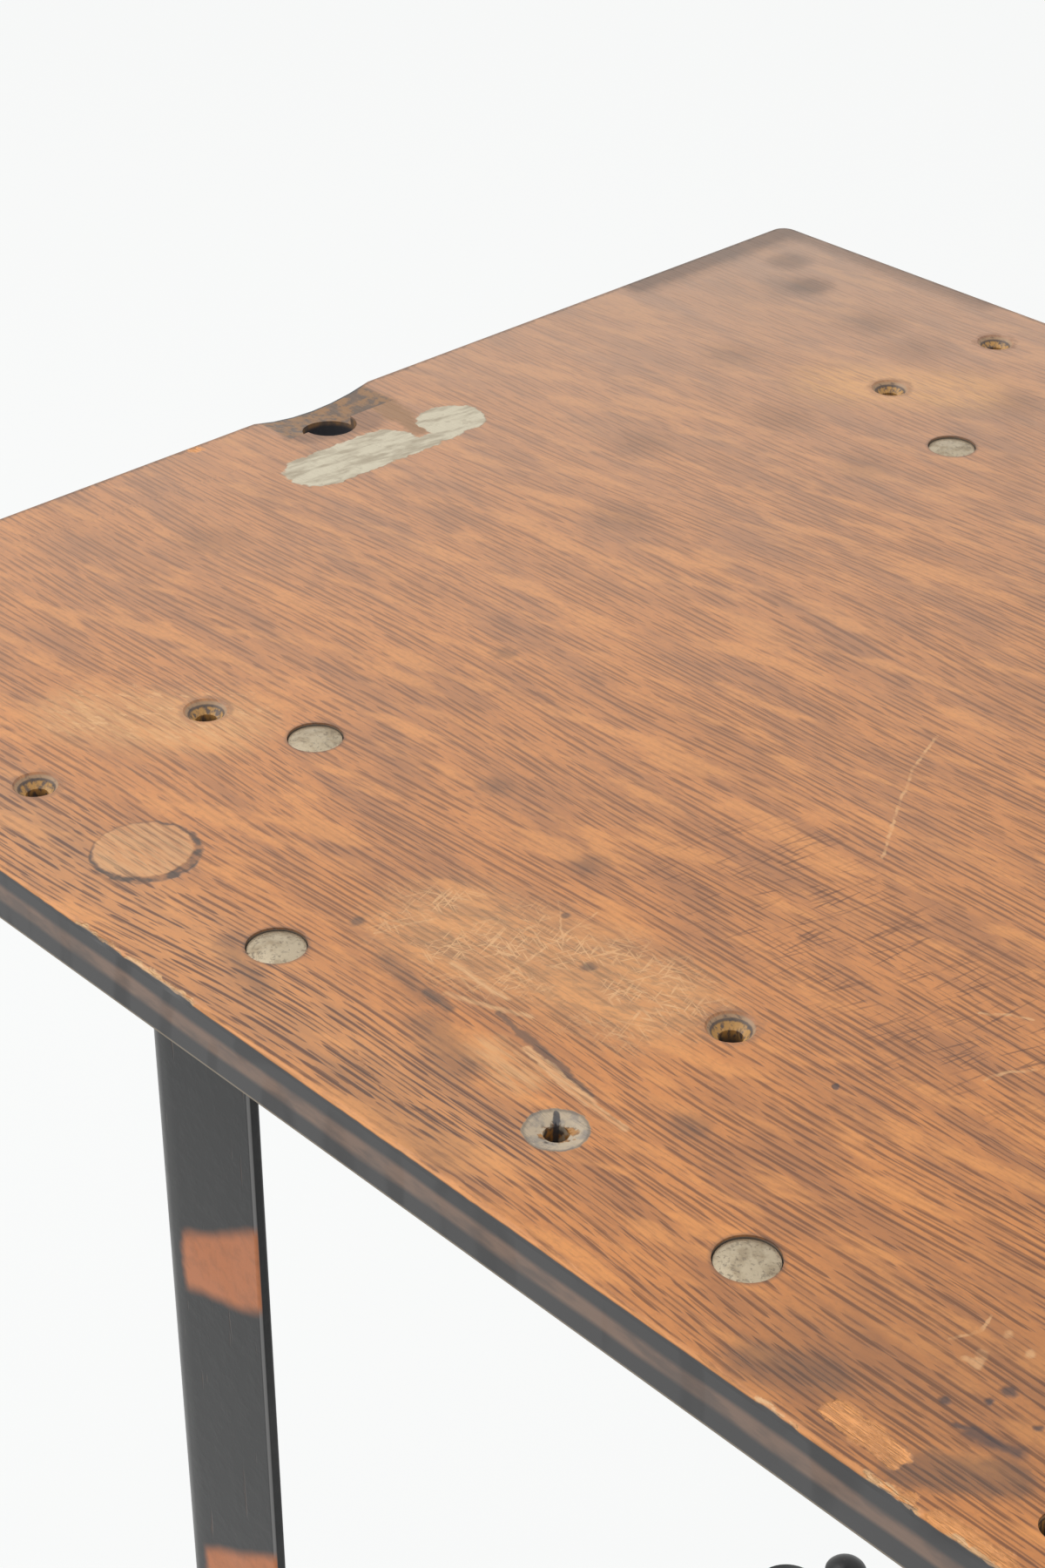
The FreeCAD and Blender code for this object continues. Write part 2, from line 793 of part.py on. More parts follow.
def make_axle(label, x, y):
    """An axle pin riveted flush with the outside of both fork arms."""
    body = node(new_body(label))
    centre = size.fork_trail
    half = size.wheel_wide / 2 + size.wheel_gap + size.fork_arm
    pin = Drawing(body, "pin_sketch", "XZ_Plane")
    pin.circle(centre, size.wheel_dia / 2, size.axle_dia)
    pad(body, "pin", pin, half * 2, symmetric=True)
    place(body, x, y, turn=size.caster_turn.value)


def make_wheel(label, x, y):
    """A cast wheel with a bevelled tread that fills the fork."""
    body = node(new_body(label))
    centre = size.fork_trail
    bore = centre + size.axle_dia / 2 + size.axle_fit
    tread = centre + size.wheel_dia / 2
    shoulder = tread - size.wheel_bevel
    half = size.wheel_wide / 2
    flat_half = half - size.wheel_bevel
    turned = Drawing(body, "turned_sketch", "XY_Plane", size.wheel_dia / 2)
    turned.outline(
        [
            (bore, -half),
            (shoulder, -half),
            (tread, -flat_half),
            (tread, flat_half),
            (shoulder, half),
            (bore, half),
        ]
    )
    turned.axis(centre, 0)
    revolve(body, "turned", turned, "Axis0")
    place(body, x, y, turn=size.caster_turn.value)


def make_casters():
    """One swivel caster in each socket."""
    for corner, (x, y) in caster_spots().items():
        make_fork(f"caster_fork_{corner}", x, y)
        make_axle(f"caster_axle_{corner}", x, y)
        make_wheel(f"caster_wheel_{corner}", x, y)


def check_document():
    """Stop if any feature failed or any sub-part has no valid solid."""
    document.recompute()
    for thing in document.Objects:
        if "Invalid" in thing.State or "Error" in thing.State:
            raise ValueError(f"{thing.Name} failed: {thing.State}")
    for thing in nodes:
        if thing.Shape.isNull() or not thing.Shape.isValid() or not thing.Shape.Solids:
            raise ValueError(f"{thing.Label} has no valid solid")


def write_parts():
    """Write each sub-part to its own file."""
    os.makedirs("parts", exist_ok=True)
    for thing in nodes:
        thing.Shape.exportStep(f"parts/{thing.Label}.step")
        box = thing.Shape.BoundBox
        extent = f"{box.XLength:.1f} x {box.YLength:.1f} x {box.ZLength:.1f}"
        print(f"{thing.Label}: {len(thing.Shape.Solids)} solid(s), {extent}")


make_top()
make_carriage_bolts()
make_nuts()
make_rails()
make_legs()
make_runner("front_runner", 0)
make_runner("rear_runner", 180)
make_side_stretcher("right_stretcher", 90)
make_side_stretcher("left_stretcher", 270)
make_centre_stretcher()
make_sockets()
make_casters()
check_document()
write_parts()
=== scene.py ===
"""Looks of an old typewriter desk: worn oak top, black flash-finished steel base, swivel casters."""

import json
import logging
import math
from contextlib import contextmanager
from dataclasses import dataclass
from enum import Enum
from functools import cached_property, partial, reduce
from operator import or_
from typing import Iterator, Optional, Sequence, Union

import bpy
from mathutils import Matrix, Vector, noise


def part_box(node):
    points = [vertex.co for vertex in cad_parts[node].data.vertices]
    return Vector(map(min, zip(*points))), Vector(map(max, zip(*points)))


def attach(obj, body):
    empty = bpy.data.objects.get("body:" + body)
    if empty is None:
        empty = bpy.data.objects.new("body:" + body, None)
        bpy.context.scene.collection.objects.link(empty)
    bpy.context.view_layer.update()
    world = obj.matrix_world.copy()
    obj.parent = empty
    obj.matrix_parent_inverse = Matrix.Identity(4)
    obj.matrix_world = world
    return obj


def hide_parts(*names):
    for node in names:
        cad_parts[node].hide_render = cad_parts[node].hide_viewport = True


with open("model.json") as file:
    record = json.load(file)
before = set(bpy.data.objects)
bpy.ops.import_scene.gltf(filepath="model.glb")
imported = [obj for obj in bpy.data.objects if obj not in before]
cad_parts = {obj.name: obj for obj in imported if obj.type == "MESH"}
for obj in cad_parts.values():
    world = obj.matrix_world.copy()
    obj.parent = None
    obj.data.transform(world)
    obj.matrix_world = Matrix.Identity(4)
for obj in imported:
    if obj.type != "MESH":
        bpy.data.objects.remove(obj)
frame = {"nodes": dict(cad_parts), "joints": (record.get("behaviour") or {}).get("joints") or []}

log = logging.getLogger("typewriter_desk")

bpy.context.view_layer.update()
MM = 0.001
PER_METRE = 1000.0
VECTOR = "NodeSocketVector"
NUMBER = "NodeSocketFloat"
# A spot is a stroke without length, and this keeps its slope finite.
SHORTEST = 1e-6
# Vector Math operations that give a number.
NUMBER_RESULTS = ("DOT_PRODUCT", "DISTANCE", "LENGTH")

Pair = tuple[float, float]
Spot = tuple[float, float]
Triple = tuple[float, float, float]
Colour = tuple[float, float, float]


class Slot(Enum):
    """The record's material slots."""

    OAK = "oak_ply"
    ENAMEL = "black_enamel"
    ZINC = "bolt_zinc"
    CASTER = "caster_steel"
    RUBBER = "wheel_rubber"


class Corner(Enum):
    """The four casters, named as their bodies are."""

    FRONT_LEFT = "front_left"
    FRONT_RIGHT = "front_right"
    REAR_LEFT = "rear_left"
    REAR_RIGHT = "rear_right"


@dataclass(frozen=True)
class Value:
    """An output of a node. Arithmetic on it adds Math nodes to its graph."""

    graph: "Graph"
    socket: bpy.types.NodeSocket

    def __add__(self, other: "Feed") -> "Value":
        """The sum."""
        return self.graph.math("ADD", self, other)

    def __sub__(self, other: "Feed") -> "Value":
        """The difference."""
        return self.graph.math("SUBTRACT", self, other)

    def __rsub__(self, other: float) -> "Value":
        """The difference from a number."""
        return self.graph.math("SUBTRACT", other, self)

    def __mul__(self, other: "Feed") -> "Value":
        """The product, which is where two masks meet."""
        return self.graph.math("MULTIPLY", self, other)

    def __truediv__(self, other: "Feed") -> "Value":
        """The quotient."""
        return self.graph.math("DIVIDE", self, other)

    def __or__(self, other: "Feed") -> "Value":
        """The larger of both, which is the union of two masks."""
        return self.graph.math("MAXIMUM", self, other)

    def __abs__(self) -> "Value":
        """The value without its sign."""
        return self.graph.math("ABSOLUTE", self)

    def step(self, low: "Feed", high: "Feed") -> "Value":
        """A mask that goes softly from 0 at low to 1 at high, which may lie under low."""
        ends = {"Value": self, "From Min": low, "From Max": high}
        return self.graph.value("ShaderNodeMapRange", ends, interpolation_type="SMOOTHSTEP")

    def spread(self, low: float, high: float) -> "Value":
        """The value from low to high that a mask from 0 to 1 stands for."""
        return self.graph.value("ShaderNodeMapRange", {"Value": self, "To Min": low, "To Max": high})


Feed = Union[float, Sequence[float], Value]
Inputs = dict[Union[int, str], Feed]


@dataclass(frozen=True)
class Pattern:
    """Cloudy noise in cells of a given size, in millimetres, turned by some degrees.

    Detail is how many finer layers it has, and rough how strong they are. A step makes it a mask, and the
    result can be spread over a range of values.
    """

    cell: Triple
    detail: float = 2.0
    rough: float = 0.5
    turn: float = 0.0
    step: Optional[Pair] = None
    spread: Optional[Pair] = None


class Graph:
    """Adds and joins the nodes of one node tree."""

    def __init__(self, tree: bpy.types.NodeTree) -> None:
        """Work on one node tree."""
        self.tree = tree

    def feed(self, socket: bpy.types.NodeSocket, value: Feed) -> None:
        """Join an input to an output, or set its own value.

        Args:
            socket: the input to fill.
            value: an output, a number, a vector or a colour.
        """
        if isinstance(value, Value):
            self.tree.links.new(value.socket, socket)
        elif socket.type == "RGBA":
            socket.default_value = (*value, 1.0)
        else:
            socket.default_value = value

    def node(self, kind: str, inputs: Inputs, **settings: object) -> bpy.types.Node:
        """Add a node.

        Args:
            kind: Blender's name of the node type.
            inputs: what to feed, by the input's name or number.
            settings: properties to set on the node.

        Returns:
            The new node.
        """
        node = self.tree.nodes.new(kind)
        for name, setting in settings.items():
            setattr(node, name, setting)
        for key, value in inputs.items():
            self.feed(node.inputs[key], value)
        return node

    def value(self, kind: str, inputs: Inputs, output: Union[int, str] = 0, **settings: object) -> Value:
        """One output, by its name or number, of a new node."""
        return Value(self, self.node(kind, inputs, **settings).outputs[output])

    def math(self, operation: str, *values: Feed) -> Value:
        """The result of a Math node."""
        return self.value("ShaderNodeMath", dict(enumerate(values)), operation=operation)

    def vector(self, operation: str, *values: Feed) -> Value:
        """The result of a Vector Math node."""
        output = "Value" if operation in NUMBER_RESULTS else "Vector"
        return self.value("ShaderNodeVectorMath", dict(enumerate(values)), output, operation=operation)

    def scaled(self, place: Value, factor: Feed) -> Value:
        """A place times a number."""
        return self.value("ShaderNodeVectorMath", {0: place, "Scale": factor}, operation="SCALE")

    def mix(self, factor: Feed, first: Feed, second: Feed) -> Value:
        """Mix two colours.

        Args:
            factor: how much of the second shows.
            first: the colour at 0.
            second: the colour at 1.

        Returns:
            The mixed colour.
        """
        node = self.node("ShaderNodeMix", {"Factor": factor}, data_type="RGBA")
        ends = [socket for socket in node.inputs if socket.type == "RGBA"]
        for socket, colour in zip(ends, (first, second)):
            self.feed(socket, colour)
        return Value(self, next(socket for socket in node.outputs if socket.type == "RGBA"))

    def noise(
        self, place: Value, scale: float, detail: float = 2.0, rough: float = 0.5, output: str = "Fac"
    ) -> Value:
        """Cloudy noise, with scale clouds in one unit of place: one value for Fac, three for Color."""
        inputs = {"Vector": place, "Scale": scale, "Detail": detail, "Roughness": rough}
        return self.value("ShaderNodeTexNoise", inputs, output)

    def pattern(self, place: Value, pattern: Pattern) -> Value:
        """Read a pattern.

        Args:
            place: where it is read, in millimetres.
            pattern: the pattern.

        Returns:
            Its noise, stepped and spread as the pattern says.
        """
        turn = (0.0, 0.0, math.radians(pattern.turn))
        inputs = {"Vector": place, "Scale": pattern.cell, "Rotation": turn}
        cells = self.value("ShaderNodeMapping", inputs, vector_type="TEXTURE")
        made = self.noise(cells, 1.0, pattern.detail, pattern.rough)
        if pattern.step:
            made = made.step(*pattern.step)
        if pattern.spread:
            made = made.spread(*pattern.spread)
        return made

    def split(self, place: Value) -> tuple[Value, ...]:
        """The three parts of a vector."""
        node = self.node("ShaderNodeSeparateXYZ", {0: place})
        return tuple(Value(self, socket) for socket in node.outputs)

    def join(self, x: Feed, y: Feed, z: Feed) -> Value:
        """A vector from its three parts."""
        return self.value("ShaderNodeCombineXYZ", dict(enumerate((x, y, z))))

    def place(self) -> Value:
        """Where a point of the surface is on the desk, in millimetres."""
        return self.scaled(self.value("ShaderNodeTexCoord", {}, "Object"), PER_METRE)


class Group(Graph):
    """A shader node group with one output, a mask."""

    def __init__(self, name: str, inputs: dict[str, str]) -> None:
        """Start the group.

        Args:
            name: the group's name.
            inputs: socket types by input name.
        """
        super().__init__(bpy.data.node_groups.new(name, "ShaderNodeTree"))
        for label, kind in inputs.items():
            self.tree.interface.new_socket(name=label, in_out="INPUT", socket_type=kind)
        self.tree.interface.new_socket(name="Mask", in_out="OUTPUT", socket_type=NUMBER)
        entry = self.node("NodeGroupInput", {})
        self.given = {label: Value(self, entry.outputs[label]) for label in inputs}

    def finished(self, mask: Value) -> bpy.types.NodeTree:
        """The group's tree, with its mask joined to the output."""
        self.node("NodeGroupOutput", {"Mask": mask})
        return self.tree


class Effects:
    """The effects that several finishes share, each a node group that is built once."""

    speckle_scale: float = 9.0
    speckle_step: Pair = (0.62, 0.72)
    speckle_share: float = 0.35
    blotch_step: Pair = (0.42, 0.68)

    def __init__(self) -> None:
        """Build the groups."""
        self.stroke = self._stroke()
        self.mottle = self._mottle()

    def _stroke(self) -> bpy.types.NodeTree:
        """A stroke from Start over Reach, whose Slope is its reach over its squared length.

        Returns:
            The tree of a mask that fades between the distances Inner and Outer.
        """
        vectors = dict.fromkeys(("Place", "Start", "Reach", "Slope"), VECTOR)
        group = Group("stroke", vectors | {"Outer": NUMBER, "Inner": NUMBER})
        given = group.given
        away = group.vector("SUBTRACT", given["Place"], given["Start"])
        along = group.vector("DOT_PRODUCT", away, given["Slope"])
        share = group.value("ShaderNodeClamp", {"Value": along})
        gap = group.vector("DISTANCE", away, group.scaled(given["Reach"], share))
        return group.finished(gap.step(given["Outer"], given["Inner"]))

    def _mottle(self) -> bpy.types.NodeTree:
        """Blotches in cells of a given size, in millimetres, with finer speckles.

        Returns:
            The tree of their mask.
        """
        group = Group("mottle", {"Place": VECTOR, "Size": NUMBER, "Amount": NUMBER})
        cells = group.scaled(group.given["Place"], group.math("DIVIDE", 1.0, group.given["Size"]))
        blotch = group.noise(cells, 1.0, 4.0, 0.6).step(*self.blotch_step)
        speckle = group.noise(cells, self.speckle_scale, 1.0).step(*self.speckle_step)
        mask = (blotch + speckle * self.speckle_share) * group.given["Amount"]
        return group.finished(group.math("MINIMUM", mask, 1.0))


@dataclass(frozen=True)
class Mark:
    """A stroke, or a spot where both ends are the same, on the top's surface, in millimetres."""

    start: Spot
    end: Spot
    half_width: float
    soft: float


Marks = tuple[Mark, ...]
Layer = tuple[Value, Feed, Feed]


def emptied(owner: Union[bpy.types.Material, bpy.types.World]) -> bpy.types.NodeTree:
    """Clear the nodes of a material or a world.

    Args:
        owner: the material or world.

    Returns:
        Its node tree.
    """
    owner.use_nodes = True
    owner.node_tree.nodes.clear()
    return owner.node_tree


class Coat(Graph):
    """The graph of one material, with its shader and the effects that finishes share."""

    def __init__(self, name: str, effects: Effects) -> None:
        """Start a material whose surface is a Principled BSDF.

        Args:
            name: the material's name.
            effects: the shared node groups.
        """
        self.material = bpy.data.materials.new(name)
        super().__init__(emptied(self.material))
        self.effects = effects
        self.shader = self.node("ShaderNodeBsdfPrincipled", {})
        self.node("ShaderNodeOutputMaterial", {"Surface": Value(self, self.shader.outputs["BSDF"])})

    def dress(self, inputs: Inputs) -> None:
        """Feed the shader, by the names of its inputs."""
        for name, value in inputs.items():
            self.feed(self.shader.inputs[name], value)

    def relief(self, height: Value, depth_mm: float) -> None:
        """Join a height from 0 to 1, of a depth in millimetres, to the shader as bump."""
        bump = {"Distance": depth_mm * MM, "Height": height}
        self.dress({"Normal": self.value("ShaderNodeBump", bump, "Normal")})

    def mottle(self, place: Value, size: float, amount: float) -> Value:
        """A blotchy mask with cells of a given size."""
        inputs = {"Place": place, "Size": size, "Amount": amount}
        return self.value("ShaderNodeGroup", inputs, node_tree=self.effects.mottle)

    def marks(self, place: Value, marks: Marks) -> Value:
        """The union of some marks.

        Args:
            place: where the marks are read.
            marks: the marks.

        Returns:
            A mask.
        """
        masks = []
        for mark in marks:
            reach = Vector((*mark.end, 0.0)) - Vector((*mark.start, 0.0))
            inputs = {
                "Place": place,
                "Start": (*mark.start, 0.0),
                "Reach": reach,
                "Slope": reach / max(reach.length_squared, SHORTEST),
                "Outer": mark.half_width + mark.soft / 2,
                "Inner": mark.half_width - mark.soft / 2,
            }
            masks.append(self.value("ShaderNodeGroup", inputs, node_tree=self.effects.stroke))
        return reduce(or_, masks)

    def layers(self, base: Feed, *layers: Layer) -> Value:
        """Lay colours over each other.

        Args:
            base: the colour at the bottom.
            layers: for each layer its mask, how much of it shows there and its colour.

        Returns:
            The colour after them.
        """
        for mask, amount, colour in layers:
            base = self.mix(mask * amount, base, colour)
        return base


@dataclass(frozen=True)
class Finish:
    """A finish, which paints the coat of one material."""

    coat: Coat

    def material(self) -> bpy.types.Material:
        """The material, painted."""
        self.paint()
        return self.coat.material

    def paint(self) -> None:
        """Dress the shader; each finish does this its own way."""
        raise NotImplementedError


def strokes(points: Sequence[Spot], half_width: float, soft: float = 0.3) -> Marks:
    """A bent stroke through some points: one mark for each straight run."""
    return tuple(Mark(a, b, half_width, soft) for a, b in zip(points, points[1:]))


def spots(points: Sequence[Spot], radius: float, soft: float) -> Marks:
    """Round marks of one size."""
    return tuple(Mark(point, point, radius, soft) for point in points)


@dataclass(frozen=True)
class Wear:
    """Where the top is scratched, stained and bare, in millimetres on the desk."""

    pale_scratches: Marks = (
        strokes([(-181.5, -9.1), (-175.3, -25.2), (-167.7, -39.1), (-157.7, -55.6), (-152.1, -64.3)], 0.4)
        + strokes([(-193.7, -136.7), (-186.0, -143.0), (-176.0, -151.8)], 0.25)
        + strokes([(-178.3, -170.5), (-181.1, -154.7), (-183.6, -133.1)], 0.3)
        + strokes([(-213.9, -178.6), (-211.2, -169.8), (-208.1, -163.2)], 0.25)
        + strokes([(-93.4, -97.2), (-87.9, -92.8), (-83.6, -90.2)], 0.45)
        + strokes([(-76.4, -116.2), (-75.4, -111.3), (-70.8, -104.5)], 0.5)
        + strokes([(-26.5, -187.0), (-23.5, -181.0), (-25.0, -176.0)], 0.4)
        + strokes([(-20.5, -189.3), (-17.7, -188.9), (-19.5, -185.3)], 1.1, 0.9)
        + spots([(-12.5, -178.9), (-19.3, -177.7)], 1.1, 0.9)
    )
    dark_scratches: Marks = (
        strokes([(-183.1, -212.0), (-174.1, -214.8), (-162.9, -217.7), (-157.4, -217.8)], 0.5)
        + strokes([(-157.4, -217.8), (-152.9, -214.4), (-146.3, -214.1)], 0.5)
    )
    soaked: Marks = strokes([(-330.0, -214.0), (-138.0, -216.0)], 15.0, 26.0)
    crossed: Marks = strokes([(-165.0, -92.0), (-84.0, -104.0)], 23.0, 34.0)
    crossed_leans: tuple[float, ...] = (69.0, 78.0, 84.0)
    scuff_leans: tuple[float, ...] = (24.0, 70.0, 109.0, -22.0)
    splinters: Marks = (
        strokes([(-183.6, -182.8), (-173.3, -178.7), (-163.4, -174.1)], 0.8, 1.0)
        + strokes([(-155.1, -183.4), (-147.5, -184.4)], 1.0, 0.8)
        + strokes([(-148.5, -184.3), (-138.2, -185.8), (-131.0, -186.7)], 1.6, 0.8)
        + strokes([(-132.0, -186.6), (-119.2, -187.7)], 0.9, 0.8)
        + strokes([(-191.7, -172.8), (-181.8, -173.7), (-172.6, -173.5)], 0.8, 1.4)
    )
    cracks: Marks = (
        strokes([(-169.7, -178.8), (-159.1, -180.4)], 0.8, 0.8)
        + strokes([(-160.0, -180.2), (-150.4, -181.6), (-141.4, -183.2)], 1.3, 1.0)
        + strokes([(-142.0, -183.1), (-132.5, -184.6)], 0.7, 0.9)
        + spots([(-220.5, -178.4), (-168.5, -150.7)], 1.9, 1.8)
        + strokes([(-186.8, -185.2), (-178.8, -185.7)], 1.5, 1.6)
        + spots([(-187.8, -139.7)], 1.2, 1.0)
    )
    scuffed: Marks = strokes([(-204.0, -163.0), (-150.0, -150.0)], 17.0, 22.0)
    flaked: Marks = strokes([(-345.0, -165.0), (-318.0, -140.0)], 14.0, 18.0)
    worn_patches: Marks = (
        strokes([(-345.0, -168.0), (-316.0, -146.0)], 13.0, 18.0)
        + strokes([(-350.0, 140.0), (-318.0, 165.0)], 14.0, 20.0)
        + strokes([(-160.9, -190.1), (-147.2, -192.0)], 5.0, 7.0)
    )
    torn_veneer: Marks = (
        strokes([(-28.0, -219.2), (-12.6, -220.2)], 3.3, 0.9)
        + strokes([(-8.6, -228.4), (-2.6, -226.4)], 1.5, 0.8)
        + strokes([(4.0, -226.0), (24.0, -226.5)], 2.2, 1.6)
        + spots([(-455.5, -45.6)], 2.6, 1.4)
    )
    ink: Marks = (
        spots([(-15.5, -201.4), (-2.9, -203.3)], 1.2, 1.3)
        + spots([(-9.6, -195.1), (1.7, -193.9)], 0.9, 1.0)
        + spots([(-8.7, -190.2)], 1.6, 1.5)
        + strokes([(-9.6, -205.0), (-6.5, -203.8)], 0.8, 1.2)
        + strokes([(-6.3, -204.6), (3.2, -202.3)], 1.8, 3.0)
    )
    chips: Marks = spots([(-97.6, -142.2)], 1.0, 0.5)
    smudges: Marks = (
        spots([(-433.0, 205.0), (-412.0, 194.0)], 7.0, 9.0)
        + spots([(-292.8, -62.8)], 3.2, 4.0)
        + strokes([(-8.4, -221.0), (7.0, -209.0)], 5.0, 4.0)
        + strokes([(-178.0, -193.0), (-160.0, -199.0)], 4.5, 8.0)
        + strokes([(-203.0, -184.0), (-186.0, -187.0)], 3.0, 7.0)
        + strokes([(-235.0, -207.0), (-215.0, -213.0)], 3.0, 8.0)
        + spots([(-243.0, -112.0), (-200.0, -120.0), (-110.0, -176.0)], 4.0, 8.0)
        + strokes([(-50.0, -221.0), (-36.0, -213.0)], 5.0, 8.0)
        + strokes([(-455.0, 226.0), (-360.0, 226.0)], 4.0, 9.0)
        + strokes([(-454.5, 150.0), (-453.0, 224.0)], 5.0, 6.0)
        + strokes([(-441.5, -12.0), (-436.0, 6.0)], 8.0, 5.0)
    )
    dulled_spots: Marks = (
        strokes([(-34.0, -206.0), (14.0, -172.0)], 26.0, 40.0)
        + strokes([(-9.0, -220.0), (5.4, -209.2)], 6.5, 4.0)
        + strokes([(-44.0, -211.0), (-28.0, -212.0)], 5.0, 6.0)
        + strokes([(-453.0, 150.0), (-451.0, 222.0)], 7.0, 8.0)
        + strokes([(-176.0, -219.0), (-140.0, -222.0)], 6.0, 10.0)
        + spots([(-417.0, 190.0), (-376.0, 186.0), (-350.0, 179.0)], 9.0, 16.0)
        + spots([(-345.0, 106.0), (-390.0, 130.0)], 9.0, 16.0)
        + spots([(-304.0, 100.0), (-362.0, 60.0), (-330.0, 20.0)], 8.0, 15.0)
        + spots([(-402.0, -80.0), (-300.0, 170.0)], 8.0, 15.0)
    )
    smear: Marks = (
        strokes([(-417.0, -27.5), (-416.5, 1.5)], 10.6, 0.8)
        + strokes([(-417.2, 26.5), (-416.5, 29.5)], 9.8, 0.8)
        + strokes([(-409.5, 2.0), (-410.0, 22.0)], 3.8, 0.8)
    )
    bruise: Marks = (
        strokes([(-443.0, 20.0), (-431.0, 18.0)], 4.8, 3.6)
        + strokes([(-431.0, 18.0), (-418.0, 15.0)], 2.8, 2.4)
    )
    ring_centre: Spot = (-279.9, -197.2)
    ring_radius: float = 14.2
    ring_inner: float = 12.6
    ring_shift: float = 1.5
    edge_chips: Marks = (
        strokes([(-266.0, -228.6), (-250.0, -228.6)], 1.1, 0.8)
        + strokes([(-246.0, -228.6), (-222.0, -228.6)], 1.3, 0.8)
        + strokes([(-40.0, -228.6), (-31.0, -228.6)], 1.2, 0.6)
        + strokes([(-12.0, -228.6), (-1.0, -228.6)], 1.9, 0.8)
        + strokes([(8.0, -228.6), (60.0, -228.6)], 1.2, 0.6)
    )


@dataclass(frozen=True)
class Board:
    """The top's box and its holes, in millimetres on the desk."""

    half_length: float
    half_depth: float
    top: float
    thick: float
    corner: float = 5.0
    bolts: tuple[Spot, ...] = ((225.9, 199.2), (71.0, 199.2), (294.0, 130.6))
    screws: tuple[Spot, ...] = (
        (-325.2, -198.8),
        (-325.2, -143.1),
        (-129.1, -143.1),
        (-336.5, 149.8),
        (-336.5, 203.7),
    )
    worn_screw: Spot = (-129.1, -198.8)
    end_hole: Spot = (-440.7, -2.9)

    @classmethod
    def from_frame(cls) -> "Board":
        """Read the board's box from the frame."""
        low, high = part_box("desk_top")
        return cls(high.x * PER_METRE, high.y * PER_METRE, high.z * PER_METRE, (high.z - low.z) * PER_METRE)

    def levels(self, depths: Pair) -> Pair:
        """The heights of two depths under the face."""
        return self.top - depths[0], self.top - depths[1]


@dataclass(frozen=True)
class Ground:
    """Where a point of the board is, in the forms that marks are read by, and the noises that they share."""

    place: Value
    x: Value
    y: Value
    z: Value
    flat: Value
    mirrored: Value
    jitter: Value
    ragged: Value
    wobbly: Value
    inset: Value
    fibre: Value
    crumbs: Value
    broken: Value
    nibble: Value


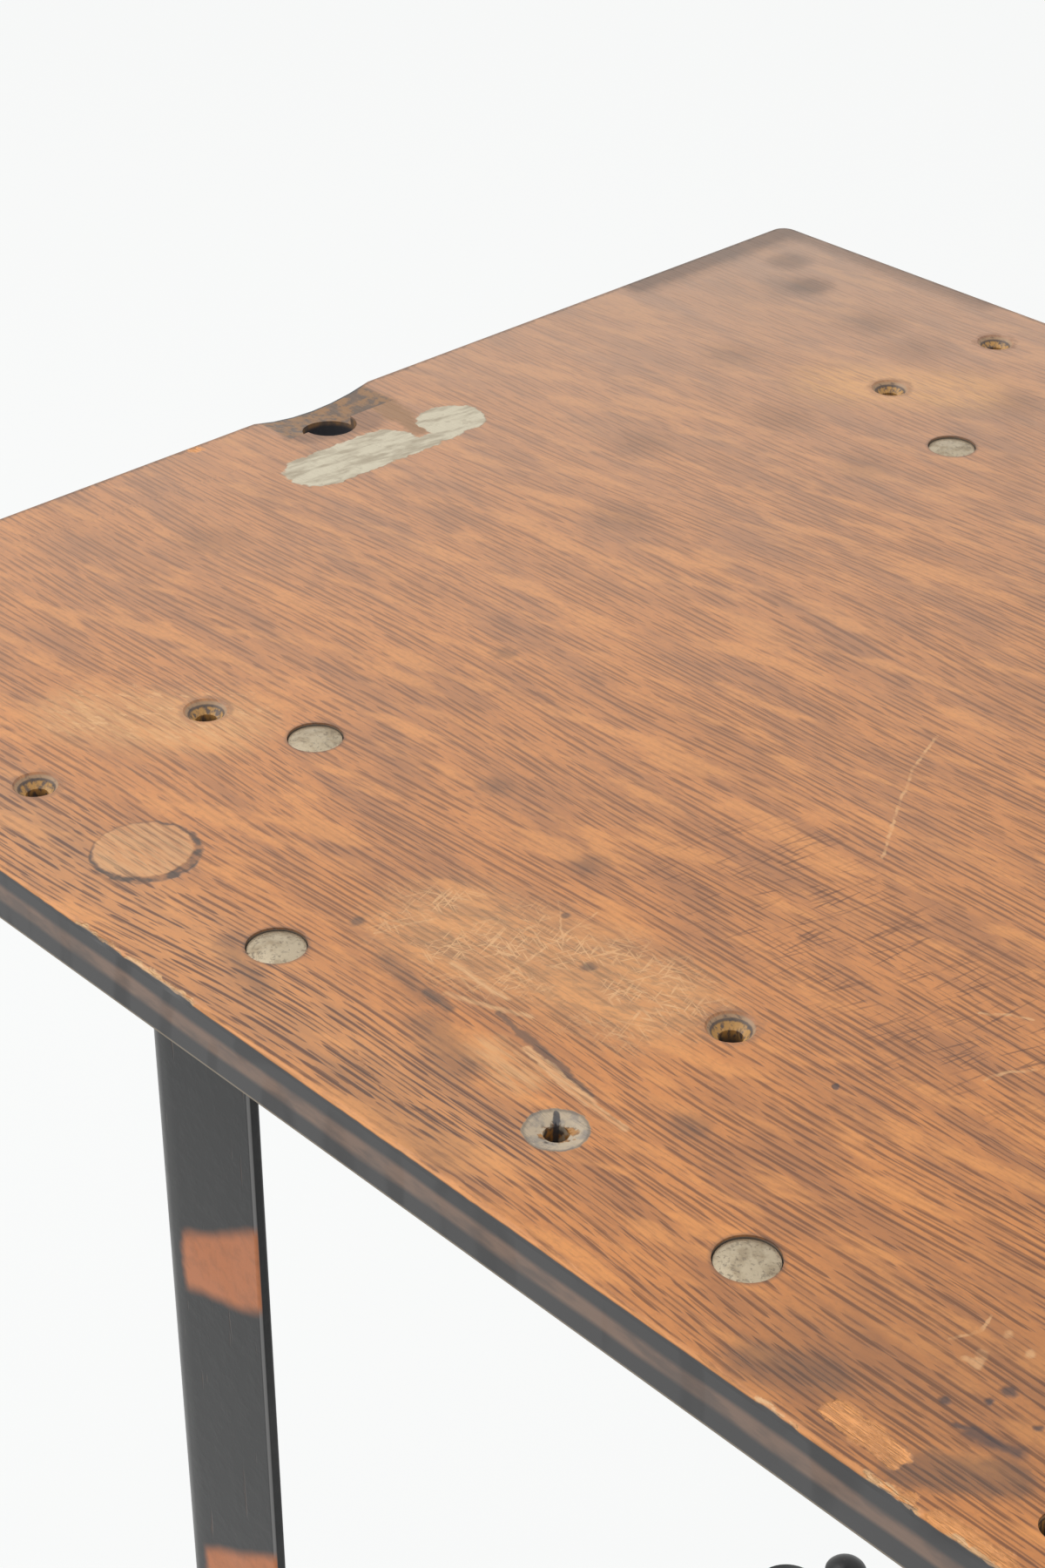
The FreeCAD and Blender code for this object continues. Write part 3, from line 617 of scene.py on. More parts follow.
@dataclass(frozen=True)
class OakTop(Finish):
    """Worn quarter-cut oak veneer on plywood, with blackened edges, every mark of use, and painted sheen,
    highlight and shade.

    A pair is where a soft step or a spread starts and ends, or a spot's radius and softness. For pores it
    is how far apart the rows are and how long a pore is, and for scratches how long and how far apart
    they are.
    """

    board: Board
    wear: Wear = Wear()
    light: Colour = (0.91, 0.38, 0.110)
    middle: Colour = (0.695, 0.268, 0.078)
    dark: Colour = (0.37, 0.148, 0.058)
    # Greyish tone of the painted sheen on the far left of the face.
    painted_sheen: Colour = (0.43, 0.340, 0.275)
    pore: Colour = (0.100, 0.042, 0.025)
    grime: Colour = (0.075, 0.058, 0.048)
    raw: Colour = (0.95, 0.41, 0.135)
    bore: Colour = (0.58, 0.32, 0.10)
    dent: Colour = (0.47, 0.30, 0.175)
    yellow: Colour = (0.78, 0.425, 0.185)
    splinter: Colour = (0.84, 0.49, 0.235)
    ink: Colour = (0.035, 0.036, 0.045)
    filler: Colour = (0.67, 0.605, 0.46)
    crease: Colour = (0.45, 0.385, 0.28)
    black: Colour = (0.072, 0.073, 0.075)
    ply: Colour = (0.295, 0.198, 0.148)
    tin: Colour = (0.54, 0.435, 0.305)
    dust: Colour = (0.33, 0.285, 0.235)
    rust: Colour = (0.44, 0.19, 0.035)
    bruise: Colour = (0.30, 0.150, 0.080)
    char: Colour = (0.15, 0.105, 0.078)
    scorched: Colour = (0.31, 0.170, 0.080)
    sway: Pattern = Pattern((150.0, 60.0, 90.0), 1.0, spread=(-6.0, 6.0))
    clouds: Pattern = Pattern((60.0, 24.0, 60.0), spread=(-0.10, 0.10))
    shade: Pattern = Pattern((44.0, 13.0, 60.0), 4.0, 0.6, -7.0, (0.30, 0.60), (0.35, 1.0))
    rays: Pattern = Pattern((30.0, 8.0, 60.0), 3.0, 0.55, 10.0, (0.50, 0.66))
    streaks: Pattern = Pattern((30.0, 1.7, 9.0), step=(0.48, 0.66))
    specks: Pattern = Pattern((2.2, 1.1, 2.0), 2.0, 0.6, step=(0.52, 0.34))
    drift: Pattern = Pattern((150.0, 40.0, 150.0), 0.0, spread=(-3.0, 3.0))
    breaks: Pattern = Pattern((11.0, 11.0, 11.0), 3.0, 0.6, step=(0.38, 0.62))
    fibre: Pattern = Pattern((9.0, 0.9, 9.0), 3.0, 0.6, step=(0.38, 0.62))
    crumbs: Pattern = Pattern((3.5, 3.5, 3.5), 3.0, 0.6)
    broken: Pattern = Pattern((4.0, 4.0, 4.0), 3.0, step=(0.4, 0.6))
    nibble: Pattern = Pattern((7.0, 2.0, 3.0), 4.0, 0.7)
    flakes: Pattern = Pattern((4.5, 1.5, 3.0), 3.0, 0.6, 20.0)
    wander: Pattern = Pattern((40.0, 40.0, 8.0), spread=(-1.2, 1.2))
    edge_streaks: Pattern = Pattern((40.0, 40.0, 0.5), spread=(0.0, 0.2))
    edge_wear: Pattern = Pattern((14.0, 14.0, 5.0), 3.0, 0.6, step=(0.3, 0.6), spread=(0.5, 1.0))
    hole_fibres: Pattern = Pattern((5.0, 1.6, 1.2), 3.0, 0.6, step=(0.26, 0.5))
    tufts: Pattern = Pattern((1.4, 1.4, 3.0), 2.0, 0.6, step=(0.36, 0.56))
    creases: Pattern = Pattern((4.0, 16.0, 9.0), 3.0, 0.6, -8.0, (0.34, 0.56))
    blotch: Pattern = Pattern((3.0, 3.0, 3.0), 3.0, 0.6)
    sheen: Pattern = Pattern((60.0, 30.0, 60.0), 3.0, spread=(0.38, 0.56))
    # Direction and reach of the painted sheen that greys the far left.
    sheen_way: Spot = (-0.73, 0.68)
    sheen_reach: Pair = (-200.0, 480.0)
    long_pores: Pair = (2.3, 17.0)
    short_pores: Pair = (1.5, 9.0)
    row_shift: float = 7.3
    pore_beat: Pair = (0.33, 0.57)
    pore_half: Pair = (-0.16, 0.18)
    pore_soft: Pair = (-0.07, 0.07)
    short_share: float = 0.65
    fleck_cover: Pair = (1.0, 0.25)
    sheen_cover: Pair = (0.95, 0.3)
    scratch_step: Pair = (0.66, 0.74)
    hatch_size: Pair = (7.0, 0.55)
    crossed_size: Pair = (22.0, 1.1)
    lost_flakes: Pair = (0.54, 0.36)
    pale_flakes: Pair = (0.58, 0.66)
    jitter_scale: float = 0.35
    jitter_middle: Triple = (0.5, 0.5, 0.5)
    ragged_by: float = 4.0
    wobbly_by: float = 2.0
    neat_by: float = 1.5
    frayed_by: float = 9.0
    ring_soft: Pair = (0.9, 1.2)
    bolt_dirt: Pair = (8.0, 1.6)
    bolt_well: Pair = (9.5, 1.0)
    screw_rim: Pair = (7.4, 2.0)
    end_well: Pair = (34.0, 4.0)
    dish: Pair = (7.6, 0.5)
    dish_floor: Pair = (6.9, 0.9)
    dish_break: Pair = (3.8, 0.9)
    split_size: Pair = (0.7, 0.5)
    split_from: Spot = (-1.5, 1.4)
    split_to: Spot = (-4.6, 4.3)
    face_depths: Pair = (0.75, 0.3)
    # Depths at which painted shade turns the end hole near black.
    end_shade_depths: Pair = (3.6, 5.0)
    core_from: Pair = (4.2, 6.2)
    core_to: Pair = (11.0, 9.0)
    foot_line: Pair = (0.7, 0.3)
    raw_from: Pair = (1.3, 1.7)
    dark_band_from: Pair = (1.0, 1.3)
    dark_band_to: Pair = (1.9, 1.5)
    # Depths over which the bore darkens with painted shade.
    bore_shade_from: Pair = (3.2, 7.0)
    edge_inset: Pair = (0.75, 0.6)
    rubbed_inset: Pair = (1.8, 0.4)
    front_band: Pair = (6.0, 3.0)
    rubbed_wave: Pair = (-2.0, 2.0)
    chip_step: Pair = (0.36, 0.48)
    crease_step: Pair = (0.42, 0.30)
    char_step: Pair = (0.40, 0.60)
    tin_step: Pair = (0.32, 0.55)
    rust_step: Pair = (0.4, 0.62)
    pore_rough: float = 0.2
    filler_rough: float = 0.3
    cut_share: float = 0.35
    relief_mm: float = 0.4

    @cached_property
    def ground(self) -> Ground:
        """Read the place and the shared noises, once.

        Returns:
            The places and noises.
        """
        coat = self.coat
        place = coat.place()
        x, y, z = coat.split(place)
        flat = coat.join(x, y, 0.0)
        cloud = coat.noise(place, self.jitter_scale, 3.0, output="Color")
        jitter = coat.vector("SUBTRACT", cloud, self.jitter_middle)
        return Ground(
            place=place,
            x=x,
            y=y,
            z=z,
            flat=flat,
            mirrored=coat.join(abs(x), abs(y), 0.0),
            jitter=jitter,
            ragged=self.frayed(flat, jitter, self.ragged_by),
            wobbly=self.frayed(flat, jitter, self.wobbly_by),
            inset=self.inset(x, y),
            fibre=coat.pattern(place, self.fibre),
            crumbs=coat.pattern(place, self.crumbs),
            broken=coat.pattern(place, self.broken),
            nibble=coat.pattern(place, self.nibble),
        )

    def frayed(self, flat: Value, jitter: Value, reach: float) -> Value:
        """A place on the face, moved about at random by up to half of a reach, which frays outlines."""
        return self.coat.vector("MULTIPLY_ADD", jitter, (reach, reach, 0.0), flat)

    def inset(self, x: Value, y: Value) -> Value:
        """How far a point is from the board's outline, with its rounded corners.

        Args:
            x: the place along the board.
            y: the place across it.

        Returns:
            The distance, in millimetres.
        """
        board = self.board
        ends = abs(x) - (board.half_length - board.corner)
        sides = abs(y) - (board.half_depth - board.corner)
        past = self.coat.join(ends | 0.0, sides | 0.0, 0.0)
        return board.corner - self.coat.vector("LENGTH", past)

    def read(self, pattern: Pattern) -> Value:
        """A pattern at the surface's own place."""
        return self.coat.pattern(self.ground.place, pattern)

    def far_sheen(self) -> Value:
        """How much a painted sheen greys the face.

        Returns:
            A mask that grows towards the far left corner.
        """
        coat, ground = self.coat, self.ground
        along = coat.math("MULTIPLY_ADD", ground.x, self.sheen_way[0], ground.y * self.sheen_way[1])
        ends = {"Value": along, "From Min": self.sheen_reach[0], "From Max": self.sheen_reach[1]}
        share = coat.value("ShaderNodeMapRange", ends)
        return share * share

    def pore_rows(self, place: Value, bias: Value, pitch: float, long: float) -> Value:
        """Rows of short dark pores along the grain.

        Args:
            place: where the wood is read.
            bias: about zero, more pores where it is larger.
            pitch: how far apart the rows are.
            long: about how long a pore is.

        Returns:
            A mask.
        """
        coat = self.coat
        x, y, _ = coat.split(place)
        rows = y / pitch + coat.pattern(place, self.drift)
        row = coat.math("FLOOR", rows)
        off = abs(rows - row - 0.5)
        beat = coat.noise(coat.join(x / long, row * self.row_shift, 0.0), 1.0, 1.0) + bias
        half = beat.step(*self.pore_beat).spread(*self.pore_half)
        return (half - off).step(*self.pore_soft)

    def veneer(self) -> tuple[Value, Value]:
        """The oak itself: pores along X, ray flecks, broad bands of tone and a painted sheen that greys it
        towards the far left.

        Returns:
            Its colour and its pores.
        """
        coat, ground = self.coat, self.ground
        wavy = coat.join(ground.x, ground.y + self.read(self.sway), ground.z)
        bias = coat.pattern(wavy, self.clouds)
        flecks = coat.pattern(wavy, self.rays)
        far_sheen = self.far_sheen()
        cover = flecks.spread(*self.fleck_cover) * far_sheen.spread(*self.sheen_cover)
        long_rows = self.pore_rows(wavy, bias, *self.long_pores)
        short_rows = self.pore_rows(wavy, bias, *self.short_pores)
        pores = (long_rows | short_rows * self.short_share) * cover
        wood = coat.layers(
            coat.mix(coat.pattern(wavy, self.shade), self.dark, self.middle),
            (flecks, 0.55, self.light),
            (self.read(self.specks), 0.22, self.dark),
            (coat.pattern(wavy, self.streaks) * cover, 0.45, self.dark),
            (pores, 0.74, self.pore),
            # Painted sheen greying the face towards the far left corner.
            (far_sheen, 0.72, self.painted_sheen),
        )
        return wood, pores

    def scratches(self, leans: Sequence[float], long: float, wide: float) -> Value:
        """Fine straight scratches at some angles to the grain, about so long and so wide apart."""
        ways = [Pattern((long, wide, wide), 0.0, turn=lean, step=self.scratch_step) for lean in leans]
        return reduce(or_, map(self.read, ways)) * self.read(self.breaks)

    def ring(self) -> tuple[Value, Value]:
        """The stain that a round foot left.

        Returns:
            Its dark line, thicker on one side, and its inside.
        """
        wear = self.wear
        marks = partial(self.coat.marks, self.ground.wobbly)
        middle = (wear.ring_centre[0] - wear.ring_shift, wear.ring_centre[1])
        disc = marks(spots([wear.ring_centre], wear.ring_radius, self.ring_soft[0]))
        inner = marks(spots([middle], wear.ring_inner, self.ring_soft[1]))
        return disc * (1.0 - inner), disc * inner

    def filler_colour(self) -> Value:
        """Dried filler, creased along the stroke of the knife.

        Returns:
            Its colour.
        """
        coat, ground = self.coat, self.ground
        paste = coat.mix(self.read(self.creases), self.crease, self.filler)
        return coat.layers(paste, (ground.crumbs.step(*self.crease_step), 0.5, self.crease))

    def face(self) -> tuple[Value, Value, Value]:
        """The veneer with wear, stains and a painted highlight on the front arris laid over each other.

        Returns:
            Its colour, its roughness and its height.
        """
        coat, ground = self.coat, self.ground
        board, wear, fibre, broken = self.board, self.wear, ground.fibre, ground.broken
        ragged = partial(coat.marks, ground.ragged)
        wobbly = partial(coat.marks, ground.wobbly)
        wood, pores = self.veneer()
        flakes = self.read(self.flakes)
        soaked = ragged(wear.soaked)
        scuffed = ragged(wear.scuffed)
        flaked = ragged(wear.flaked)
        crossed = ragged(wear.crossed)
        hatch = self.scratches(wear.scuff_leans, *self.hatch_size)
        crossing = self.scratches(wear.crossed_leans, *self.crossed_size)
        torn = ragged(wear.torn_veneer)
        dark_lines = wobbly(wear.dark_scratches) * broken
        ink_spots = wobbly(wear.ink + wear.chips)
        ring, ring_floor = self.ring()
        filler = ragged(wear.smear)
        wood = coat.layers(
            wood,
            (soaked * (1.0 - pores), 0.16, self.splinter),
            (soaked * pores, 0.5, self.ink),
            (ragged(wear.worn_patches), fibre.spread(0.2, 0.75), self.yellow),
            (scuffed * flakes.step(*self.lost_flakes), 0.42, self.grime),
            (scuffed, 0.34, self.yellow),
            (scuffed * hatch, 0.75, self.splinter),
            (flaked * flakes.step(*self.pale_flakes), 0.6, self.splinter),
            (crossed * crossing, 0.6, self.pore),
            (wobbly(wear.cracks), 0.65, self.grime),
            (wobbly(wear.splinters), fibre.spread(0.3, 0.75), self.splinter),
            (ragged(wear.smudges), 0.45, self.grime),
            (ragged(wear.dulled_spots), 0.26, self.grime),
            (torn, fibre.spread(0.5, 1.0), self.raw),
            (dark_lines, 0.4, self.pore),
            (wobbly(wear.pale_scratches), broken.spread(0.15, 0.6), self.splinter),
            (ink_spots, 0.75, self.ink),
            (ring_floor, fibre.spread(0.15, 0.5), self.splinter),
            (ring, broken.spread(0.4, 0.9), self.grime),
            (coat.marks(ground.mirrored, spots(board.bolts, *self.bolt_dirt)), 0.6, self.grime),
            (ragged(spots(board.screws, *self.screw_rim)), fibre.spread(0.25, 0.7), self.bruise),
            (ragged(wear.bruise), 0.8, self.scorched),
        )
        wood = coat.mix(filler, wood, self.filler_colour())
        # A band along the outline: raw wood on the front arris, worn and partly a painted highlight; darker
        # along the ends and back.
        at_front = ground.y.step(*(band - board.half_depth for band in self.front_band))
        rubbed = (ground.inset + ground.nibble.spread(*self.rubbed_wave)).step(*self.rubbed_inset)
        wood = coat.layers(wood, (rubbed, 0.5, coat.mix(at_front, self.grime, self.raw)))
        chipped = ragged(wear.edge_chips) * ground.nibble.step(*self.chip_step)
        rough = self.read(self.sheen) + pores * self.pore_rough + filler * self.filler_rough
        cuts = pores | dark_lines | ring | ink_spots
        height = filler * ground.crumbs - cuts * self.cut_share - (torn | chipped) * fibre
        return coat.mix(chipped, wood, self.splinter), rough, height

    def edge_colour(self) -> Value:
        """Blackened edge with the brown core of the plywood showing as a stripe.

        Returns:
            Its colour.
        """
        coat, ground = self.coat, self.ground
        depth = self.board.top - ground.z
        level = depth + self.read(self.wander)
        core = level.step(*self.core_from) * level.step(*self.core_to)
        colour = coat.mix(core * self.read(self.edge_wear), self.black, self.ply)
        colour = coat.mix(self.read(self.edge_streaks), colour, self.grime)
        foot = depth.step(*(self.board.thick - above for above in self.foot_line))
        return coat.layers(colour, (foot, 0.45, self.tin))

    def hole_colour(self) -> Value:
        """Wood in the holes: dented near the surface, a dark line, then raw fibres and the bore, darkened by
        painted shade.

        Returns:
            Its colour, dirty round the bolts, scorched in the end hole and darkened there by painted shade
            deep inside.
        """
        coat, ground = self.coat, self.ground
        board = self.board
        depth = board.top - ground.z
        dented = coat.mix(self.read(self.hole_fibres), self.char, self.dent)
        raw = coat.mix(self.read(self.tufts), self.char, self.bore)
        burnt_and_shaded = coat.mix(ground.crumbs.step(*self.char_step), self.char, self.scorched)
        # Painted shade: the end hole turns near black below a few millimetres.
        burnt_and_shaded = coat.mix(ground.z.step(*board.levels(self.end_shade_depths)), burnt_and_shaded, self.ink)
        near_bolt = coat.marks(ground.mirrored, spots(board.bolts, *self.bolt_well))
        return coat.layers(
            coat.mix(depth.step(*self.raw_from), dented, raw),
            # A dark band just under the rim of each hole.
            (depth.step(*self.dark_band_from) * depth.step(*self.dark_band_to), 0.75, self.ink),
            # Painted shade: the bore darkens to near black with depth.
            (depth.step(*self.bore_shade_from), 0.9, self.ink),
            (near_bolt, 0.92, coat.mix(0.45, self.grime, self.dust)),
            (coat.marks(ground.flat, spots([board.end_hole], *self.end_well)), 0.97, burnt_and_shaded),
        )

    def worn_screw(self, colour: Value) -> Value:
        """The plugged screw hole: a grey-beige dish with a ragged rusty break and a dark split.

        Args:
            colour: the colour so far.

        Returns:
            The colour with the dish.
        """
        coat, ground = self.coat, self.ground
        x, y = self.board.worn_screw
        neat = self.frayed(ground.flat, ground.jitter, self.neat_by)
        frayed = self.frayed(ground.flat, ground.jitter, self.frayed_by)
        blotch = self.read(self.blotch)
        plate = coat.marks(neat, spots([(x, y)], *self.dish))
        rim = plate * (1.0 - coat.marks(neat, spots([(x, y)], *self.dish_floor)))
        split = [(x + across, y + along) for across, along in (self.split_from, self.split_to)]
        return coat.layers(
            colour,
            (plate, 0.95, coat.mix(blotch.step(*self.tin_step), self.dust, self.tin)),
            (rim, 0.55, self.grime),
            (
                coat.marks(frayed, spots([(x, y)], *self.dish_break)),
                0.95,
                coat.mix(blotch.step(*self.rust_step), self.grime, self.rust),
            ),
            (coat.marks(neat, strokes(split, *self.split_size)), 0.9, self.ink),
        )

    def paint(self) -> None:
        """Sort the surface into face, edge and holes, and dress each."""
        coat, ground = self.coat, self.ground
        wood, rough, height = self.face()
        on_face = ground.z.step(*self.board.levels(self.face_depths))
        on_edge = ground.inset.step(*self.edge_inset)
        colour = coat.mix(on_edge, self.hole_colour(), self.edge_colour())
        colour = self.worn_screw(coat.mix(on_face, colour, wood))
        coat.dress({"Base Color": colour, "Roughness": rough})
        coat.relief(height * on_face, self.relief_mm)


@dataclass(frozen=True)
class FlashEnamel(Finish):
    """Black enamel over steel, with coppery flash patches on the outer faces of the legs, painted sheen on
    their rounded corners and a painted highlight along the free edge of their front flanges.

    A mottle is the size of its cells and how strong it is.
    """

    corner_x: float
    corner_y: float
    flange: float
    foot: float
    head: float
    first_patch: float = 545.5
    pitch: float = 121.0
    patch_half: float = 8.4
    patch_flare: float = 0.13
    patch_inset: float = 10.5
    patch_lean: float = 0.5
    patch_middle: float = 22.0
    patch_soft: float = 3.0
    patch_end: float = 2.0
    clear_foot: Pair = (20.0, 26.0)
    clear_head: float = 1.0
    face_soft: Pair = (0.9, 0.5)
    # Where the painted sheen along each leg's rounded corner starts and where it is full.
    corner_sheen: Pair = (12.0, 2.0)
    arris_from: Pair = (-0.3, 0.0)
    arris_to: Pair = (1.0, 0.6)
    black: Colour = (0.019, 0.0195, 0.020)
    grey: Colour = (0.046, 0.047, 0.047)
    # Lighter grey painted as sheen along each leg's rounded corner.
    rubbed: Colour = (0.115, 0.115, 0.112)
    # Pale grey of the painted highlight along the front flange's free edge.
    painted_highlight: Colour = (0.34, 0.335, 0.33)
    shine: float = 0.32
    copper: Colour = (0.66, 0.235, 0.095)
    rust: Colour = (0.16, 0.075, 0.04)
    blotches: Pair = (34.0, 0.55)
    specks: Pair = (6.0, 0.5)
    scuffs: Pattern = Pattern((2.0, 2.0, 30.0), 3.0, step=(0.66, 0.74))
    ripple: Pattern = Pattern((22.0, 22.0, 22.0), 3.0, spread=(-3.0, 3.0))
    nibble: Pattern = Pattern((5.0, 5.0, 5.0), 3.0, spread=(-1.6, 1.6))
    gloss: Pair = (0.32, 0.48)
    patch_rust: float = 0.4
    patch_rough: float = 0.08
    relief_mm: float = 0.06

    def outer_face(self, depth: Value, face: float, reach: Value, corner: float) -> Value:
        """The part of a leg's outer face that takes the flash.

        Args:
            depth: how far out a point is, square to the face.
            face: where the face is.
            reach: how far along the face a point is.
            corner: where the leg's corner is along the face.

        Returns:
            A mask that ends short of the rounded corner.
        """
        edge = corner - self.patch_inset
        short_of_corner = reach.step(edge + self.patch_end, edge - self.patch_end)
        return abs(depth - face).step(*self.face_soft) * short_of_corner

    def paint(self) -> None:
        """Enamel with scuffs, painted sheen on the rounded corners and a painted highlight along the front
        flange's free edge, then a soft-edged copper patch on each outer leg face at every pitch.
        """
        coat = self.coat
        place = coat.place()
        x, y, z = coat.split(place)
        across, along = abs(x), abs(y)
        blotch = coat.mottle(place, *self.blotches)
        specks = coat.mottle(place, *self.specks)
        scuffs = coat.pattern(place, self.scuffs)

        to_corner = (self.corner_x - across) | (self.corner_y - along)
        level = z + (self.patch_middle - to_corner) * self.patch_lean
        cycle = level + coat.pattern(place, self.ripple) + (self.pitch / 2 - self.first_patch)
        beat = coat.math("FLOORED_MODULO", cycle, self.pitch) - self.pitch / 2
        flared = coat.math("MULTIPLY_ADD", to_corner, self.patch_flare, self.patch_half)
        window = (flared - abs(beat)).step(-self.patch_soft, self.patch_soft)
        nibble = coat.pattern(place, self.nibble)
        front_face = self.outer_face(along, self.corner_y, across + nibble, self.corner_x)
        side_face = self.outer_face(across, self.corner_x, along + nibble, self.corner_y)
        over_foot = z.step(*(self.foot + clear for clear in self.clear_foot))
        on_leg = over_foot * z.step(self.head, self.head - self.clear_head)
        patch = window * ((front_face | side_face) * on_leg)

        # A thin painted highlight along the free edge of each leg's front flange.
        from_arris = across - (self.corner_x - self.flange)
        at_face = along.step(*(self.corner_y - soft for soft in self.face_soft))
        arris = from_arris.step(*self.arris_to) * (at_face * on_leg) * from_arris.step(*self.arris_from)
        paint = coat.layers(
            coat.mix(blotch, self.black, self.grey),
            (specks, 0.3, self.grey),
            (scuffs, 0.35, self.rust),
            # Painted sheen: lighter grey towards each leg's rounded corner.
            (to_corner.step(*self.corner_sheen), 0.75, self.rubbed),
            (arris, 0.7, self.painted_highlight),
            (patch, 0.95, coat.mix(specks * self.patch_rust, self.copper, self.rust)),
        )
        rough = blotch.spread(*self.gloss) + patch * self.patch_rough
        coat.dress({"Base Color": paint, "Specular IOR Level": self.shine, "Roughness": rough})
        coat.relief(specks - scuffs, self.relief_mm)


@dataclass(frozen=True)
class DullMetal(Finish):
    """Dull plated or bare steel, spotted and stained."""

    clean: Colour = (0.51, 0.42, 0.295)
    stain: Colour = (0.27, 0.20, 0.125)
    spot: Colour = (0.07, 0.05, 0.035)
    blotch_size: float = 5.0
    stained: float = 0.6
    pits_per_blotch: float = 5.0
    pitted: float = 0.4
    pit_step: Pair = (0.2, 0.4)
    metal: float = 0.75
    pit_metal: float = 0.5
    rough: Pair = (0.38, 0.6)
    relief_mm: float = 0.08

    def paint(self) -> None:
        """Plate with stains and dark pits."""
        coat = self.coat
        place = coat.place()
        stains = coat.mottle(place, self.blotch_size, self.stained)
        pits = coat.mottle(place, self.blotch_size / self.pits_per_blotch, self.pitted).step(*self.pit_step)
        colour = coat.layers(coat.mix(stains, self.clean, self.stain), (pits, 0.35, self.spot))
        metal = pits.spread(self.metal, self.metal * self.pit_metal)
        coat.dress({"Base Color": colour, "Metallic": metal, "Roughness": stains.spread(*self.rough)})
        coat.relief(stains - pits, self.relief_mm)


@dataclass(frozen=True)
class WheelRubber(Finish):
    """Hard black rubber, scuffed grey and dusty."""

    black: Colour = (0.022, 0.021, 0.02)
    dust: Colour = (0.16, 0.145, 0.125)
    blotches: Pair = (9.0, 0.5)
    pits: Pair = (1.6, 0.6)
    rough: Pair = (0.5, 0.8)
    relief_mm: float = 0.1

    def paint(self) -> None:
        """Rubber with dust in blotches and fine pits."""
        coat = self.coat
        place = coat.place()
        dust = coat.mottle(place, *self.blotches)
        colour = coat.layers(self.black, (dust, 0.7, self.dust))
        coat.dress({"Base Color": colour, "Roughness": dust.spread(*self.rough)})
        coat.relief(coat.mottle(place, *self.pits), self.relief_mm)


class Bench:
    """Modelling moves that several sub-assemblies share, done with Blender's operators."""

    merge: float = 0.002 * MM
    flat: float = math.radians(0.2)
    sharp: float = math.radians(35.0)
    smooth: float = math.radians(40.0)

    @staticmethod
    def clear_selection() -> None:
        """Deselect everything, so that an operator meets only what is picked next."""
        if bpy.context.mode != "OBJECT":
            bpy.ops.object.mode_set(mode="OBJECT")
        bpy.ops.object.select_all(action="DESELECT")

    @staticmethod
    def pick(*pieces: bpy.types.Object) -> None:
        """Select only some pieces.

        Args:
            pieces: the pieces, of which the first is made active.
        """
        Bench.clear_selection()
        for piece in pieces:
            piece.select_set(True)
        bpy.context.view_layer.objects.active = pieces[0]

    @staticmethod
    @contextmanager
    def editing(piece: bpy.types.Object, action: str = "SELECT") -> Iterator[None]:
        """Edit one piece's mesh.

        Args:
            piece: the piece.
            action: whether all of it is selected first, or none.

        Returns:
            A context that ends in object mode.
        """
        Bench.pick(piece)
        bpy.ops.object.mode_set(mode="EDIT")
        bpy.ops.mesh.select_all(action=action)
        yield
        bpy.ops.object.mode_set(mode="OBJECT")

    @staticmethod
    def select_none(piece: bpy.types.Object) -> None:
        """Clear the marks on a mesh's points, edges and faces."""
        with Bench.editing(piece, "DESELECT"):
            pass

    @staticmethod
    def copy_of_node(node: str, name: str) -> bpy.types.Object:
        """A piece that starts as a merged copy of a CAD node.

        Args:
            node: the node to copy.
            name: the new piece's name.

        Returns:
            The piece, with its flat faces whole again.
        """
        mesh = frame["nodes"][node].data.copy()
        mesh.materials.clear()
        piece = bpy.data.objects.new(name, mesh)
        bpy.context.scene.collection.objects.link(piece)
        with Bench.editing(piece):
            bpy.ops.mesh.remove_doubles(threshold=Bench.merge)
            bpy.ops.mesh.dissolve_limited(angle_limit=Bench.flat)
        return piece

    @staticmethod
    def soften(piece: bpy.types.Object, width_mm: float, segments: int) -> None:
        """Round a piece's sharp edges and smooth its curved faces.

        Args:
            piece: the piece.
            width_mm: the width of the rounding.
            segments: how many faces the rounding has.
        """
        Bench.pick(piece)
        bevel = piece.modifiers.new("rounding", "BEVEL")
        bevel.width = width_mm * MM
        bevel.segments = segments
        bevel.limit_method = "ANGLE"
        bevel.angle_limit = Bench.sharp
        bevel.use_clamp_overlap = True
        bpy.ops.object.modifier_apply(modifier=bevel.name)
        Bench.even_shading(piece, Bench.smooth)

    @staticmethod
    def even_shading(piece: bpy.types.Object, smooth: float) -> None:
        """Smooth curved faces while large flat ones keep their own way of looking.

        Args:
            piece: the piece, picked.
            smooth: edges sharper than this angle stay sharp.
        """
        bpy.ops.object.shade_smooth_by_angle(angle=smooth)
        even = piece.modifiers.new("even", "WEIGHTED_NORMAL")
        even.keep_sharp = True
        bpy.ops.object.modifier_apply(modifier=even.name)

    @staticmethod
    def join(pieces: Sequence[bpy.types.Object], name: str) -> bpy.types.Object:
        """Join pieces into one, smooth where it is round.

        Args:
            pieces: the pieces.
            name: the name of the result.

        Returns:
            The joined piece.
        """
        Bench.pick(*pieces)
        bpy.ops.object.join()
        pieces[0].name = name
        bpy.ops.object.shade_smooth_by_angle(angle=Bench.smooth)
        return pieces[0]

    @staticmethod
    def copy_to(master: bpy.types.Object, spot: Vector) -> bpy.types.Object:
        """A copy of a piece with its own mesh, moved to a spot in its mesh.

        Args:
            master: the piece to copy.
            spot: how far it moves, in metres.

        Returns:
            The copy.
        """
        copy = master.copy()
        copy.data = master.data.copy()
        bpy.context.scene.collection.objects.link(copy)
        with Bench.editing(copy):
            bpy.ops.transform.translate(value=spot)
        return copy


